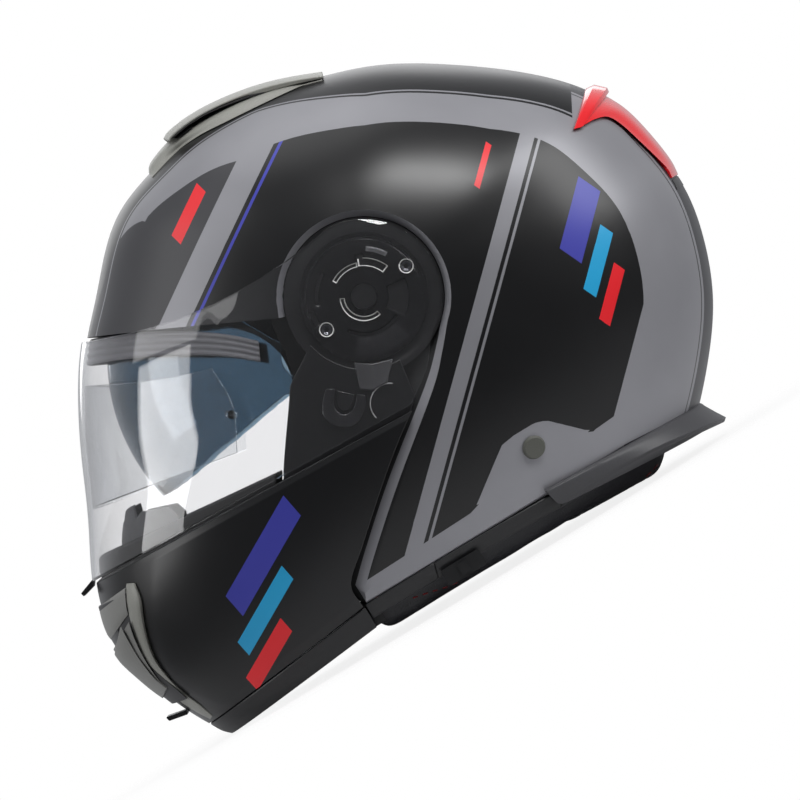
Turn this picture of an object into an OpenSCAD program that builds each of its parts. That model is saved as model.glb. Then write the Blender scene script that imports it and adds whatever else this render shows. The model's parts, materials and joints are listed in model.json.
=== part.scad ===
// Modular flip-up motorcycle helmet, standing on its base edge.
// Pieces are drawn in the head frame, whose origin lies on the axis of the chin bar's pivots: the front
// is -X, the rider's left is -Y and the crown is +Z. place() sets a piece on the ground.
// A point of the side view is [x, z]. A layer of the helmet is a half width at the pivots and a distance
// that it stands out of the side outline, written [half_width, grow].

/* [Outside] */
// Half width of the outer shell at the pivots
shell_half_width = 124; // [122:0.5:125]
// Distance of the pivot axis behind the middle of the whole helmet
pivot_setback = 15; // [13:0.5:17]
// Angle between the base edge and the worn attitude
base_tilt = 31.2; // [30.8:0.1:31.6]
// Fullness of the cross-sections, where 2 is an ellipse
section_fullness = 2.25; // [2.2:0.05:2.35]

/* [Walls] */
// Wall of the outer shell
shell_wall = 3.5; // [2.5:0.5:4]
// Wall of the chin shell
chin_wall = 3.2; // [2.4:0.2:3.6]
// Thickness of the face shield
shield_wall = 2.2; // [1.8:0.1:2.4]
// Thickness of the sun visor
visor_wall = 1.8; // [1.4:0.2:2.2]
// Thickness of the impact liner at the sides and the crown
liner_wall = 14; // [12:1:18]
// Thickness of the comfort liner
comfort_wall = 9; // [6:1:12]
// Thickness of the neck roll
roll_wall = 17; // [12:1:20]

/* [Pivots] */
// Radius of the chin bar's pivot pins
pivot_pin_r = 6; // [5:0.5:6.5]
// Radius of the round ends of the chin bar
arm_end_r = 38; // [36:0.5:38.5]
// Thickness of the round ends of the chin bar
arm_end_wall = 2.4; // [2:0.1:2.6]
// Radius of the round ends of the face shield
shield_end_r = 37; // [36:0.5:38]
// Radius of the shield's cam plates
cam_r = 31; // [29:0.5:32]
// Thickness of the washers under the round ends
washer_wall = 1.1; // [0.9:0.1:1.2]
// Radius of the sun visor's pivot pins
visor_pin_r = 3; // [2.5:0.5:3.5]

/* [Fits] */
// Gap between neighbouring layers of one body
layer_gap = 0.4; // [0.3:0.1:0.6]
// Radial clearance of a pin in its bore
pin_clearance = 0.08; // [0.04:0.02:0.1]

/* [Fittings] */
// Width of the chin strap's webbing
strap_width = 25; // [20:1:28]
// Radius of the side plugs
plug_r = 5.8; // [5:0.2:7]

/* [Hidden] */

// ---- Layers, from the outside in ----
chin_half_width = shell_half_width + 3;
shell_out = [shell_half_width, 0];
shell_in = deeper(shell_out, shell_wall);
chin_out = [chin_half_width, 0];
chin_in = deeper(chin_out, chin_wall);
// The shield's third value says that its sides run up into the domes round the pivots
shield_in = [chin_half_width + 0.3, 0.3, 1];
shield_out = deeper(shield_in, -shield_wall);
dome_drop = 2.5;

// ---- Faces of the pivot stack, as distances from the middle plane ----
recess_face = shell_half_width - 11;
boss_face = shell_half_width - 6.2;
washer_face = boss_face + washer_wall;
arm_face = washer_face + 0.3;
cam_face = arm_face + arm_end_wall;
cam_wall = 2.6;
base_face = recess_face - shell_wall - layer_gap - 1.2;
base_wall = 3.6;
recess_r = arm_end_r + 3.5;
lip_r = arm_end_r + 1;
visor_pivot = [-29, -28];

// Radius of the side outline, every 10 degrees from the rear over the crown
outline_radii = [
    170.3, 168.5, 165.3, 158.5, 152.5, 141.5, 130.5, 122.5, 117.5,
    114, 111.5, 111.5, 113, 115.5, 119, 122.5, 127.5, 129.5,
    132, 139, 147, 157.5, 174, 199.5, 213.5, 221, 223,
    215, 205, 195, 188, 183.5, 179, 175, 172, 170.5
];

function deeper(layer, d) = [for (i = [0 : len(layer) - 1]) i < 2 ? layer[i] - d : layer[i]];
function toward(dir) = [cos(dir), sin(dir)];
function direction(q) = atan2(q.y, q.x);
// Smooth radius of the outline at any direction
function outline_at(dir) =
    let (n = len(outline_radii), t = (dir % 360 + 360) % 360 / 10, i = floor(t), f = t - i,
         a = outline_radii[(i + n - 1) % n], b = outline_radii[i % n],
         c = outline_radii[(i + 1) % n], d = outline_radii[(i + 2) % n])
    b + f * (c - a) / 2 + f * f * (a - 2.5 * b + 2 * c - d / 2) + f * f * f * (1.5 * (b - c) + (d - a) / 2);
// The helmet stands on the front corner of the chin's outline, with an edge strip under it
foot_dir = 252.6;
foot_strip = 0.9;
pivot_height = outline_at(foot_dir) * sin(base_tilt - foot_dir) + foot_strip;
function fullness(dir) = section_fullness + 0.25 * cos(dir);
// Half width of a layer at the side-view point q
function half_width(q, layer) =
    let (r = norm(q), p = fullness(direction(q)), f = r / (outline_at(direction(q)) + layer[1]),
         y = f >= 1 ? 0 : layer[0] * pow(1 - pow(f, p), 1 / p))
    len(layer) > 2 ? y + (layer[0] - dome_drop * pow(r / shield_end_r, 2) - y) * near_pivot(r) : y;
// Share of the shield's dome in its surface at the distance r from the pivots, from 1 down to 0
function near_pivot(r) =
    let (t = max(0, min(1, (r - shield_end_r) / shield_end_r))) 1 - t * t * (3 - 2 * t);
// The point q, pulled in where it would leave the layer's outline
function inside(q, layer) =
    let (r = 0.97 * (outline_at(direction(q)) + layer[1]))
    norm(q) > r ? q * r / norm(q) : q;
// Side-view point at u along the ground, from under the pivots to the rear, and h over the ground
function on_base(u, h) =
    let (z = h - pivot_height)
    [u * cos(base_tilt) - z * sin(base_tilt), u * sin(base_tilt) + z * cos(base_tilt)];
// Direction in which the outline's rear meets the height h
function rear_direction(h) = base_tilt + asin((h - pivot_height) / outline_radii[34]);

// A control of a wrap-round sheet is [x, z, dir, bend_x, bend_z, outer_depth, inner_depth]: its row runs
// from the side point [x, z] to the outline in the direction dir, bent in its middle by [bend_x, bend_z].
function spread(controls, k) = [
    for (i = [0 : len(controls) - 2]) for (j = [0 : k - 1])
        controls[i] + (controls[i + 1] - controls[i]) * j / k,
    controls[len(controls) - 1]
];
function half_row(c, layer, n) =
    let (a = inside([c[0], c[1]], layer), m = (outline_at(c[2]) + layer[1]) * toward(c[2]))
    [for (j = [0 : n]) let (g = sin(90 * j / n), s = a + (m - a) * g + 4 * g * (1 - g) * [c[3], c[4]])
        [s.x, j == n ? 0 : -half_width(s, layer), s.y]];
function mirrored(row) =
    concat(row, [for (j = [len(row) - 2 : -1 : 0]) [row[j].x, -row[j].y, row[j].z]]);

// Closed sheet between two grids of points of the same size
module sheet(outer, inner) {
    m = len(outer);
    n = len(outer[0]);
    function at(k, i, j) = (k * m + i) * n + j;
    function quad(a, b, c, d) = [[a, b, c], [a, c, d]];
    points = concat([for (row = outer) each row], [for (row = inner) each row]);
    faces = concat(
        [for (i = [0 : m - 2]) for (j = [0 : n - 2]) each concat(
            quad(at(0, i, j), at(0, i, j + 1), at(0, i + 1, j + 1), at(0, i + 1, j)),
            quad(at(1, i, j), at(1, i + 1, j), at(1, i + 1, j + 1), at(1, i, j + 1)))],
        [for (j = [0 : n - 2]) each concat(
            quad(at(0, 0, j), at(1, 0, j), at(1, 0, j + 1), at(0, 0, j + 1)),
            quad(at(0, m - 1, j), at(0, m - 1, j + 1), at(1, m - 1, j + 1), at(1, m - 1, j)))],
        [for (i = [0 : m - 2]) each concat(
            quad(at(0, i, 0), at(0, i + 1, 0), at(1, i + 1, 0), at(1, i, 0)),
            quad(at(0, i, n - 1), at(1, i, n - 1), at(1, i + 1, n - 1), at(0, i + 1, n - 1)))]);
    polyhedron(points, faces);
}
// Sheet that wraps round the helmet from side to side. Its controls run with falling direction.
module wrap(controls, out, inn, cols, k) {
    rows = spread(controls, k);
    sheet(
        [for (c = rows) mirrored(half_row(c, deeper(out, c[5]), cols))],
        [for (c = rows) mirrored(half_row(c, deeper(inn, c[6]), cols))]);
}
// Sheet on the left side only, through a grid of side-view points
module side_sheet(grid, out, inn) {
    sheet(
        [for (row = grid) [for (q = row) [q.x, -half_width(q, out), q.y]]],
        [for (row = grid) [for (q = row) [q.x, -half_width(q, inn), q.y]]]);
}

// ---- Placing ----
module place() {
    translate([pivot_setback, 0, pivot_height]) rotate([0, base_tilt, 0]) children();
}
module above_ground() {
    difference() {
        children();
        translate([-300, -300, -60]) cube([600, 600, 60]);
    }
}
module on_right(right) {
    if (right) mirror([0, 1, 0]) children();
    else children();
}
// A plate on the left side between the distances near and far from the middle plane
module side_plate(near, far) {
    translate([0, -near, 0]) rotate([90, 0, 0]) linear_extrude(far - near) children();
}
// A round pin or hole on the left side at the side-view point q
module side_rod(q, r, near, far) {
    translate([q.x, -near, q.y]) rotate([90, 0, 0]) cylinder(r = r, h = far - near, $fn = 64);
}

// ---- Outer shell ----
shell_cols = 9;
edge_height = 23;
// Rim controls of the shell: [x, z, dir, lip_x, lip_z, half width of the lip at both its edges]
function recess_control(dir, top_dir) =
    concat(recess_r * toward(dir), top_dir, lip_r * toward(dir), recess_face, recess_face);
function seam_control(e, dir) =
    let (f = e + [-14, -3], flange = deeper(shell_out, 9))
    concat(e, dir, f, half_width(f, flange), half_width(e, flange));
function edge_control(u, dir) =
    let (e = on_base(u, edge_height), f = on_base(u, edge_height - 0.8), rounded = deeper(shell_out, 1.2))
    concat(e, dir, f, half_width(f, rounded), half_width(e, rounded));
recess_rows = [for (k = [0 : 20]) recess_control(194 - 10.95 * k, 187.8 - 7 * k)];
seam_controls = [
    seam_control([34.4, -31], 43), seam_control([29, -44], 38.5), seam_control([12, -86], 30),
    seam_control([1.4, -118], 24), seam_control([-4.2, -137.4], 19.5),
    for (k = [0 : 6]) edge_control([-74.6, -50, -22, 6, 30, 52, 70][k], 15 - 5.4 * k)
];
function lip_row(c, n) =
    let (e = [c[0], c[1]], f = [c[3], c[4]], up = (e - f) / norm(e - f), foot = e - 0.6 * up)
    mirrored(concat([[f.x, -c[5], f.y], [foot.x, -c[6], foot.y]],
        half_row([e.x, e.y, c[2], 0, 0], shell_out, n)));
function lining_row(c, n) =
    let (e = [c[0], c[1]], f = [c[3], c[4]], up = (e - f) / norm(e - f),
         foot = e + (shell_wall - 0.6) * up, head = e + shell_wall * up)
    mirrored(concat([[f.x, shell_wall - c[5], f.y], [foot.x, shell_wall - c[6], foot.y]],
        half_row([head.x, head.y, c[2], 0, 0], shell_in, n)));
module outer_shell() {
    color("#1b1b1d") place() {
        rows = concat(recess_rows, spread(seam_controls, 2));
        sheet([for (c = rows) lip_row(c, shell_cols)], [for (c = rows) lining_row(c, shell_cols)]);
    }
}

// ---- Linings that stay in the shell ----
// Share of the crown liner that makes room for the raised sun visor, in front
liner_out = [shell_half_width - 25, -shell_wall - layer_gap];
liner_in = [liner_out[0] - liner_wall, liner_out[1] - liner_wall - 12];
comfort_out = deeper(liner_in, layer_gap);
comfort_in = deeper(comfort_out, comfort_wall);
liner_controls = [
    [-34, -50, 187, 22, 15, 15, 2], [-20, -52, 166, 8, 6, 21, 3], [-4, -54, 146, 2, 2, 22, 3],
    [12, -56, 125, 0, 0, 8, 0], [40, -58, 90, 0, 0, 0, 0], [68, -60, 45, 0, 0, 0, 0],
    [90, -58, 12, 0, 0, 0, 0], [104, -52, -8, 0, 0, 0, 0]
];
module impact_liner() {
    color("#2b2b2d") place() wrap(liner_controls, liner_out, liner_in, 9, 2);
}
module comfort_liner() {
    controls = [for (c = liner_controls) [c[0], c[1] + 4, c[2] * 0.98 + 1, c[3], c[4], 3, 3]];
    color("#3a3a3e") place() wrap(controls, comfort_out, comfort_in, 7, 2);
}
cheek_outline = [[-30, -62], [34, -64], [28, -95], [15, -120], [-3, -127], [-22, -110], [-32, -86]];
cheek_far = shell_half_width - 40;
cheek_wall = 22;
cheek_near = cheek_far - cheek_wall;
// The pad's inner face is this much smaller all round, and as deep
cheek_step = 6;
cheek_round = 4;
module cheek_pad_left() {
    color("#2e2e32") place() {
        step_face = cheek_near + cheek_step;
        for (layer = [[step_face, cheek_far, 0], [cheek_near, step_face, cheek_step]])
            side_plate(layer[0], layer[1]) offset(r = cheek_round, $fn = 24)
                offset(delta = -cheek_round - layer[2]) polygon(cheek_outline);
    }
}
module cheek_pad_right() {
    mirror([0, 1, 0]) cheek_pad_left();
}
roll_out = [shell_half_width - 15, -10];
roll_in = deeper(roll_out, roll_wall);
module neck_roll() {
    rows = [
        concat(on_base(-72, 20), rear_direction(26), 0, 0, 0, 0),
        concat(on_base(-73, 15), rear_direction(19), 0, 0, 0, 0),
        concat(on_base(-75, 9), rear_direction(5), 0, 0, 0, 0),
        concat(on_base(-74, 3), rear_direction(-4), 0, 0, -3, 0),
        concat(on_base(-70, -2), rear_direction(-9), 0, 0, -2, -6)
    ];
    color("#232325") above_ground() place() wrap(rows, roll_out, roll_in, 9, 1);
}

// ---- Edge of the shell ----
trim_out = deeper(shell_out, -0.4);
module base_trim() {
    rows = [
        concat(on_base(-75.2, 21.4), rear_direction(15.6), -1, 1.6, 0.1, 2.4),
        concat(on_base(-75.4, 18), rear_direction(12.5), -1, 1.6, -0.2, 2.8),
        concat(on_base(-75.6, 14.4), rear_direction(9), -1, 1.6, 0.6, 3.4)
    ];
    color("#161617") place() wrap(rows, trim_out, shell_out, 16, 1);
}
module rear_skirt() {
    rows = [
        concat(on_base(26, 24.4), -17.1, 0, 0, 0, 0), concat(on_base(27, 20), -17.5, 0, 0, -4, -1),
        concat(on_base(28, 16), -18, 0, 0, -11.5, -8), concat(on_base(29.4, 14.6), -18.8, 0, 0, -11.5, -9.8),
        concat(on_base(31, 13.6), -21.2, 0, 0, -2, -0.8)
    ];
    wide = shell_half_width + 1;
    color("#343437") place() sheet(
        [for (c = rows) mirrored(half_row(c, [wide + 2.2, 2.6 - c[5]], 12))],
        [for (c = rows) mirrored(half_row(c, [wide, 0.8 - c[6]], 12))]);
}
module rear_spoiler() {
    rows = [
        [100.6, 81, 43.6, 0, 0, -1.6, 0], [104, 82.4, 41.6, 0, 0, -4.4, 0], [107, 84, 40.2, 0, 0, -1.4, 0],
        [119, 86.6, 36, 0, 0, -1.8, 0], [133, 76, 29.6, 0, 0, -2, 0], [150, 60, 22, 0, 0, -0.6, 0]
    ];
    color("#d4121b") place() wrap(rows, deeper(shell_out, -1), deeper(shell_out, -layer_gap - 0.6), 8, 2);
}

// ---- Top vent ----
vent_controls = [
    [-99.4, 65, 147, 0, 0], [-92.6, 73, 142, 0, 0], [-80, 83.4, 134, 0, 0], [-60, 93.6, 123, 0, 0],
    [-34, 102.6, 111, 0, 0], [-16, 106, 100, 0, 0]
];
vent_rise = [1.6, 6.4, 7.2, 5.8, 3.8, 2.2];
module top_vent_base() {
    rows = [for (c = vent_controls) concat(c, -2, -layer_gap - 0.5)];
    color("#1e1e20") place() wrap(rows, shell_out, shell_out, 6, 2);
}
module top_vent_cover() {
    rows = [for (i = [1 : 5]) concat(vent_controls[i], -vent_rise[i] - 1, -max(vent_rise[i] - 0.8, 2.5))];
    color("#85857e") place() wrap(rows, shell_out, shell_out, 6, 2);
}
// The shutter slides to the rear along the crown under the cover
module top_vent_slider() {
    rows = [
        [-95, 78, 140.5, 0, 0, -4.8, -2.9], [-90, 82, 137.5, 0, 0, -4.8, -2.9],
        [-86, 84, 135, 0, 0, -4.8, -2.9]
    ];
    color("#2a2a2c") place() wrap(rows, shell_out, shell_out, 4, 1);
}

// ---- Brow ----
module brow_gasket() {
    rows = [[-49, -28, 190.6, 6, 4, 1.5, 3.4], [-50, -21, 188.2, 6, 4, 1.5, 3.4]];
    color("#101011") place() wrap(rows, shell_out, shell_out, 8, 1);
}

// ---- Pivots ----
striker = [-8, -72];
striker_r = 3;
fork_near = arm_face - 8.4;
fork_far = arm_face - 5.6;
module pivot_base_left() {
    tab = [[-40, -18], [14, -40], [-1, -80], [-20, -80]];
    color("#1f1f21") place() difference() {
        union() {
            side_rod([0, 0], recess_r + 4, base_face - base_wall, base_face);
            side_plate(base_face - base_wall, base_face) polygon(tab);
            side_rod([0, 0], arm_end_r - layer_gap, base_face - 0.1, boss_face);
            side_rod(visor_pivot, visor_pin_r, base_face - base_wall - 7, base_face - base_wall + 0.1);
            side_rod(striker, striker_r, base_face - 0.1, fork_far + 0.2);
        }
        side_rod([0, 0], pivot_pin_r + pin_clearance, 0, shell_half_width);
    }
}
module pivot_base_right() {
    mirror([0, 1, 0]) pivot_base_left();
}
pin_head_wall = 4;
module pivot_pins() {
    color("#2d2d30") place() for (right = [false, true]) on_right(right) {
        side_rod([0, 0], pivot_pin_r, base_face - base_wall - 1, cam_face + cam_wall + 1.6);
        side_rod([0, 0], pivot_pin_r + 3, base_face - base_wall - layer_gap - pin_head_wall,
            base_face - base_wall - layer_gap);
    }
}
module pivot_washers() {
    color("#d8d8d2") place() for (right = [false, true]) on_right(right) difference() {
        side_rod([0, 0], arm_end_r - 6, boss_face, washer_face);
        side_rod([0, 0], pivot_pin_r + 2 * pin_clearance, 0, shell_half_width);
    }
}
plug_place = [80.9, -71.5];
module side_plugs() {
    y = half_width(plug_place, shell_out);
    color("#50514b") place() for (right = [false, true]) on_right(right)
        translate([plug_place.x, -y, plug_place.y]) rotate([102, 0, 20]) {
            translate([0, 0, layer_gap]) cylinder(r1 = plug_r, r2 = plug_r - 0.8, h = 1.6, $fn = 64);
            translate([0, 0, -5]) cylinder(r = 2.4, h = 5.6, $fn = 32);
        }
}

// ---- Sun visor ----
visor_half_width = shell_half_width - 22;
// The shield's inner face, at the height of the visor's axle, stands this far in front of the raised rim
visor_room = 11.4;
visor_radius = norm(outline_at(192) * toward(192) - visor_pivot) - visor_room;
visor_fullness = 2.4;
function visor_curve(grow) =
    let (a = visor_radius + grow, b = visor_half_width + grow, k = 2 / visor_fullness)
    [for (t = [0 : 7.5 : 82.5]) [a * pow(cos(t), k), b * pow(sin(t), k)]];
module sun_visor() {
    outer = visor_curve(0);
    inner = visor_curve(-visor_wall);
    n = len(outer) - 1;
    right_side = concat(outer, [[9, visor_half_width], [9, visor_half_width - visor_wall]],
        [for (i = [n : -1 : 0]) inner[i]]);
    outline = [
        [-140, 4], [-100, -1], [-62, -8], [-22, -8], [-16, -28], [-22, -46], [-37, -46],
        [-92, -93], [-103, -99], [-112, -90], [-140, -60]
    ];
    color("#8496a6") place() for (right = [false, true]) on_right(right) difference() {
        intersection() {
            translate([visor_pivot.x, 0, visor_pivot.y]) rotate([90, 0, 0])
                rotate_extrude($fn = 180) polygon(concat(right_side));
            side_plate(-1, visor_half_width + 1) polygon(outline);
        }
        side_rod(visor_pivot, visor_pin_r + pin_clearance, 0, shell_half_width);
    }
}

// ---- Chin bar ----
chin_controls = [
    [-0.3, -148, 249.8, 0, 0, 0, 0], [-6.4, -136.5, 246.2, 0, 0, 0, 0], [-0.5, -118, 241.8, 0, 0, 0, 0],
    [10, -86, 234.2, 0, 0, 0, 0], [17.6, -66, 229.2, 0, 0, 0, 0], [23, -54, 226.5, 0, 0, 0, 0]
];
module chin_shell() {
    color("#17171a") place() wrap(chin_controls, chin_out, chin_in, 12, 3);
}
arm_out = deeper(chin_in, layer_gap);
arm_in = deeper(arm_out, 1.6);
module chin_arm_left() {
    r = arm_end_r - 4;
    near = [for (k = [0 : 6]) r * toward(-60 - 13 * k)];
    far = [[24.6, -48], [11, -82], [1, -106], [-10, -112], [-24, -112], [-38, -98], [-35, -42]];
    grid = [for (k = [0 : 6]) [for (f = [0, 0.5, 1]) near[k] + (far[k] - near[k]) * f]];
    color("#141416") place() difference() {
        union() {
            side_rod([0, 0], arm_end_r, arm_face, cam_face);
            side_sheet(grid, arm_out, arm_in);
        }
        side_rod([0, 0], pivot_pin_r + pin_clearance, 0, shell_half_width + 5);
    }
}
module chin_arm_right() {
    mirror([0, 1, 0]) chin_arm_left();
}
module chin_liner() {
    rows = [
        [-26, -136, 248.5, 0, 0, 0, 0], [-24, -118, 241, 0, 0, 0, 0], [-38, -106, 230, 0, 0, 0, 0]
    ];
    color("#202022") place() wrap(rows, deeper(arm_in, layer_gap), deeper(arm_in, 17), 9, 1);
}
module chin_trim() {
    rows = [
        concat(on_base(-76.8, 9.8), 253, 0, 0, 0.6, 6), concat(on_base(-76.8, 20.6), 250.1, 0, 0, 0, 3.4)
    ];
    color("#161617") above_ground() place() wrap(rows, chin_out, chin_out, 12, 1);
}
module chin_gasket() {
    rows = [[-42, -90, 226.2, 0, 0, 3.8, 8], [-42, -84, 224.2, 0, 0, 3.2, 7]];
    color("#101011") place() wrap(rows, chin_out, chin_out, 10, 1);
}
module nose_deflector() {
    rows = [[-92, -125, 226, 0, 0, 20, 22], [-88, -108, 221.5, 0, 0, 20, 22], [-92, -96, 218, 0, 0, 22, 24]];
    color("#19191b") place() wrap(rows, chin_out, chin_out, 7, 1);
}

// ---- Chin vent ----
module chin_vent_base() {
    rows = [[-86, -194, 244.5, 0, 0, -1.8, -layer_gap - 0.4], [-108, -172, 237, 0, 0, -1.8, -layer_gap - 0.4],
        [-115, -142, 229, 0, 0, -1.8, -layer_gap - 0.4]];
    color("#1c1c1e") place() wrap(rows, chin_out, chin_out, 7, 3);
}
module chin_vent_cover() {
    rows = [[-90, -191, 242.6, 0, 0, -4.2, -3.2], [-108, -170, 236.6, 0, 0, -5.6, -4.4],
        [-114, -144, 230, 0, 0, -4.6, -3.4]];
    color("#6e6e6b") place() wrap(rows, chin_out, chin_out, 7, 2);
}
module chin_vent_slider() {
    rows = [[-119, -163, 235.6, 0, 0, -3, -2.4], [-121, -157, 233.2, 0, 0, -3, -2.4]];
    color("#2a2a2c") place() wrap(rows, chin_out, chin_out, 4, 1);
}
module release_lever() {
    color("#1d1d1f") place() translate([0, 13, 0]) rotate([90, 0, 0]) linear_extrude(26)
        offset(r = 0.5, $fn = 16) polygon([[-96.4, -204.2], [-95.4, -205.2], [-87, -202.2], [-87.8, -201.2]]);
}

// ---- Shield mechanism ----
screw_places = [[20.1, 15.5], [-17.9, -15]];
screw_r = 3.2;
module cam_plate_left() {
    color("#0f0f11") place() difference() {
        side_rod([0, 0], cam_r, cam_face, cam_face + cam_wall);
        side_rod([0, 0], pivot_pin_r + pin_clearance, 0, shell_half_width + 5);
        for (q = screw_places) side_rod(q, screw_r + layer_gap, cam_face - 1, cam_face + cam_wall + 1);
        for (ring = [[10.4, -205, 25], [16.4, 35, 145], [17.2, 215, 300]])
            translate([0, -cam_face - 1.2, 0]) rotate([90, 0, 0])
                rotate([0, 0, ring[1]]) rotate_extrude(angle = ring[2] - ring[1], $fn = 96)
                    translate([ring[0] - 0.9, 0]) square([1.8, 3]);
    }
}
module cam_plate_right() {
    mirror([0, 1, 0]) cam_plate_left();
}
module cam_screws() {
    color("#8d8d90") place() for (right = [false, true]) on_right(right) for (q = screw_places)
        difference() {
            side_rod(q, screw_r, cam_face, cam_face + cam_wall - 0.2);
            side_plate(cam_face + cam_wall - 1.4, cam_face + cam_wall + 1)
                translate(q) circle(r = 1.5, $fn = 6);
        }
}

// ---- Face shield ----
module face_shield() {
    corner = [22.5, -51];
    heel = [30, -33];
    round_end = [for (k = [0 : 10]) concat(shield_end_r * toward(-30 + 14.8 * k), 222 - 3.34 * k,
        0.04 * k * k, -0.1 * k * k, 0, 0)];
    rows = concat([concat(corner, 226, 0, 0, 0, 0), concat(heel, 224.6, 0, 0, 0, 0)], round_end);
    color("#a9b2b8") place() wrap(rows, shield_out, shield_in, 16, 1);
}
module shield_tab() {
    color("#2c2c2e") place() translate([0, 9, 0]) rotate([90, 0, 0]) linear_extrude(18)
        offset(r = 0.5, $fn = 16)
            polygon([[-138.2, -143.6], [-137.4, -144.4], [-133, -139.8], [-132.8, -137]]);
}
module antifog_lens() {
    rows = [
        [-60, -74, 217.5, 0, 0, 0.9, 1.8], [-62, -52, 207, 0, 0, 0.9, 1.8], [-72, -34, 197, 0, -2, 0.9, 1.8]
    ];
    color("#b9c2c6") place() wrap(rows, shield_in, shield_in, 8, 1);
}

// ---- Chin strap ----
// The straps hang in a plane across the helmet. A point of that plane is [y, z].
strap_x = 1;
strap_wall = 2.2;
strap_far = base_face - base_wall - 2.8;
strap_path = [
    [-strap_far, -50], [0.5 - strap_far, -66], [8 - strap_far, -106], [10.5 - strap_far, -124],
    [25.5 - strap_far, -134], [-46, -136.5]
];
rivet_z = -58;
rivet_r = 4;
// Outline of a band of the strap's thickness along a path
function band(path, t) =
    let (n = len(path), side = [for (i = [0 : n - 1])
        let (d = path[min(i + 1, n - 1)] - path[max(i - 1, 0)]) [-d.y, d.x] / norm(d) * t / 2])
    concat([for (i = [0 : n - 1]) path[i] + side[i]], [for (i = [n - 1 : -1 : 0]) path[i] - side[i]]);
module across_x(width) {
    translate([strap_x - width / 2, 0, 0]) rotate([90, 0, 90]) linear_extrude(width) children();
}
module chin_strap_left() {
    color("#202022") place() difference() {
        across_x(strap_width) polygon(band(strap_path, strap_wall));
        side_rod([strap_x, rivet_z], rivet_r + pin_clearance, strap_far - 10, strap_far + 10);
    }
}
module chin_strap_right() {
    path = [for (q = strap_path) [-q.x, q.y]];
    long = concat([for (i = [0 : 4]) path[i]], [[30, -136.5], [12, -136.5]]);
    color("#202022") place() difference() {
        across_x(strap_width) polygon(band(long, strap_wall));
        mirror([0, 1, 0])
            side_rod([strap_x, rivet_z], rivet_r + pin_clearance, strap_far - 10, strap_far + 10);
    }
}
module strap_rivets() {
    plate = base_face - base_wall;
    color("#9a9a9c") place() for (right = [false, true]) on_right(right) {
        side_rod([strap_x, rivet_z], rivet_r, plate - 4.6, plate);
        side_rod([strap_x, rivet_z], rivet_r + 3, plate - 6.1, plate - 4.5);
    }
}
// ---- Ratchet buckle, between the straps ----
buckle_y = [-45, -2];
buckle_z = -143.5;
buckle_width = strap_width + 5;
buckle_pin_r = 1.6;
module buckle_body() {
    inner = strap_width + 1;
    color("#a4a4a6") place() difference() {
        across_x(buckle_width) polygon([
            [buckle_y[0], -139.4], [buckle_y[1], -139.4], [buckle_y[1], buckle_z - 2],
            [buckle_y[1] - 6, buckle_z - 3.5], [buckle_y[0], -141.4]
        ]);
        across_x(inner) polygon([
            [buckle_y[0] + 9, -141], [buckle_y[1] + 1, -141], [buckle_y[1] + 1, -150], [buckle_y[0] + 9, -150]
        ]);
        translate([strap_x - buckle_width, buckle_y[1] - 4, buckle_z]) rotate([0, 90, 0])
            cylinder(r = buckle_pin_r, h = 2 * buckle_width, $fn = 32);
    }
}
module buckle_pin() {
    color("#c0c0c2") place() translate([strap_x - buckle_width / 2 - 0.6, buckle_y[1] - 4, buckle_z])
        rotate([0, 90, 0]) cylinder(r = buckle_pin_r, h = buckle_width + 1.2, $fn = 32);
}
module buckle_lever() {
    width = strap_width - 0.4;
    color("#b3141c") place() difference() {
        across_x(width) union() {
            translate([buckle_y[1] - 4, buckle_z]) circle(r = 2.5, $fn = 48);
            polygon([
                [buckle_y[1] - 4, buckle_z + 1.4], [buckle_y[1] - 4, buckle_z - 2.4],
                [buckle_y[0] + 12, buckle_z - 1.2], [buckle_y[0] + 10, buckle_z + 0.4]
            ]);
        }
        translate([strap_x - buckle_width, buckle_y[1] - 4, buckle_z]) rotate([0, 90, 0])
            cylinder(r = buckle_pin_r + pin_clearance, h = 2 * buckle_width, $fn = 32);
    }
}
// Toothed tongue of the right strap, which lies on the buckle
tooth_pitch = 3;
module ratchet_strap() {
    teeth = [for (k = [0 : 11]) each [[-34 + k * tooth_pitch, -138.3], [-34 + k * tooth_pitch, -138.9]]];
    color("#7b1218") place() across_x(strap_width - 6)
        polygon(concat(teeth, [[12, -138.9], [30, -138.4], [30, -137.8], [-34, -137.8]]));
}

// ---- Sun visor slider, on the left edge of the shell ----
slider_u = -26;
slider_size = [21, 8.5];
slider_face = half_width(on_base(slider_u + slider_size.x / 2, 17), trim_out) + layer_gap;
module visor_slider() {
    size = slider_size;
    color("#2b2b2e") place() {
        side_plate(slider_face, slider_face + 2.4) offset(r = 1.5, $fn = 24)
            polygon([for (s = [[-1, -1], [1, -1], [1, 1], [-1, 1]])
                on_base(slider_u + s.x * (size.x / 2 - 1.5), 12.8 + s.y * (size.y / 2 - 1.5))]);
        side_plate(slider_face + 2.3, slider_face + 4) polygon([for (s = [[-1, -1], [1, -1], [1, 1], [-1, 1]])
            on_base(slider_u + s.x * 2.5, 12.8 + s.y * 3)]);
    }
}

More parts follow.
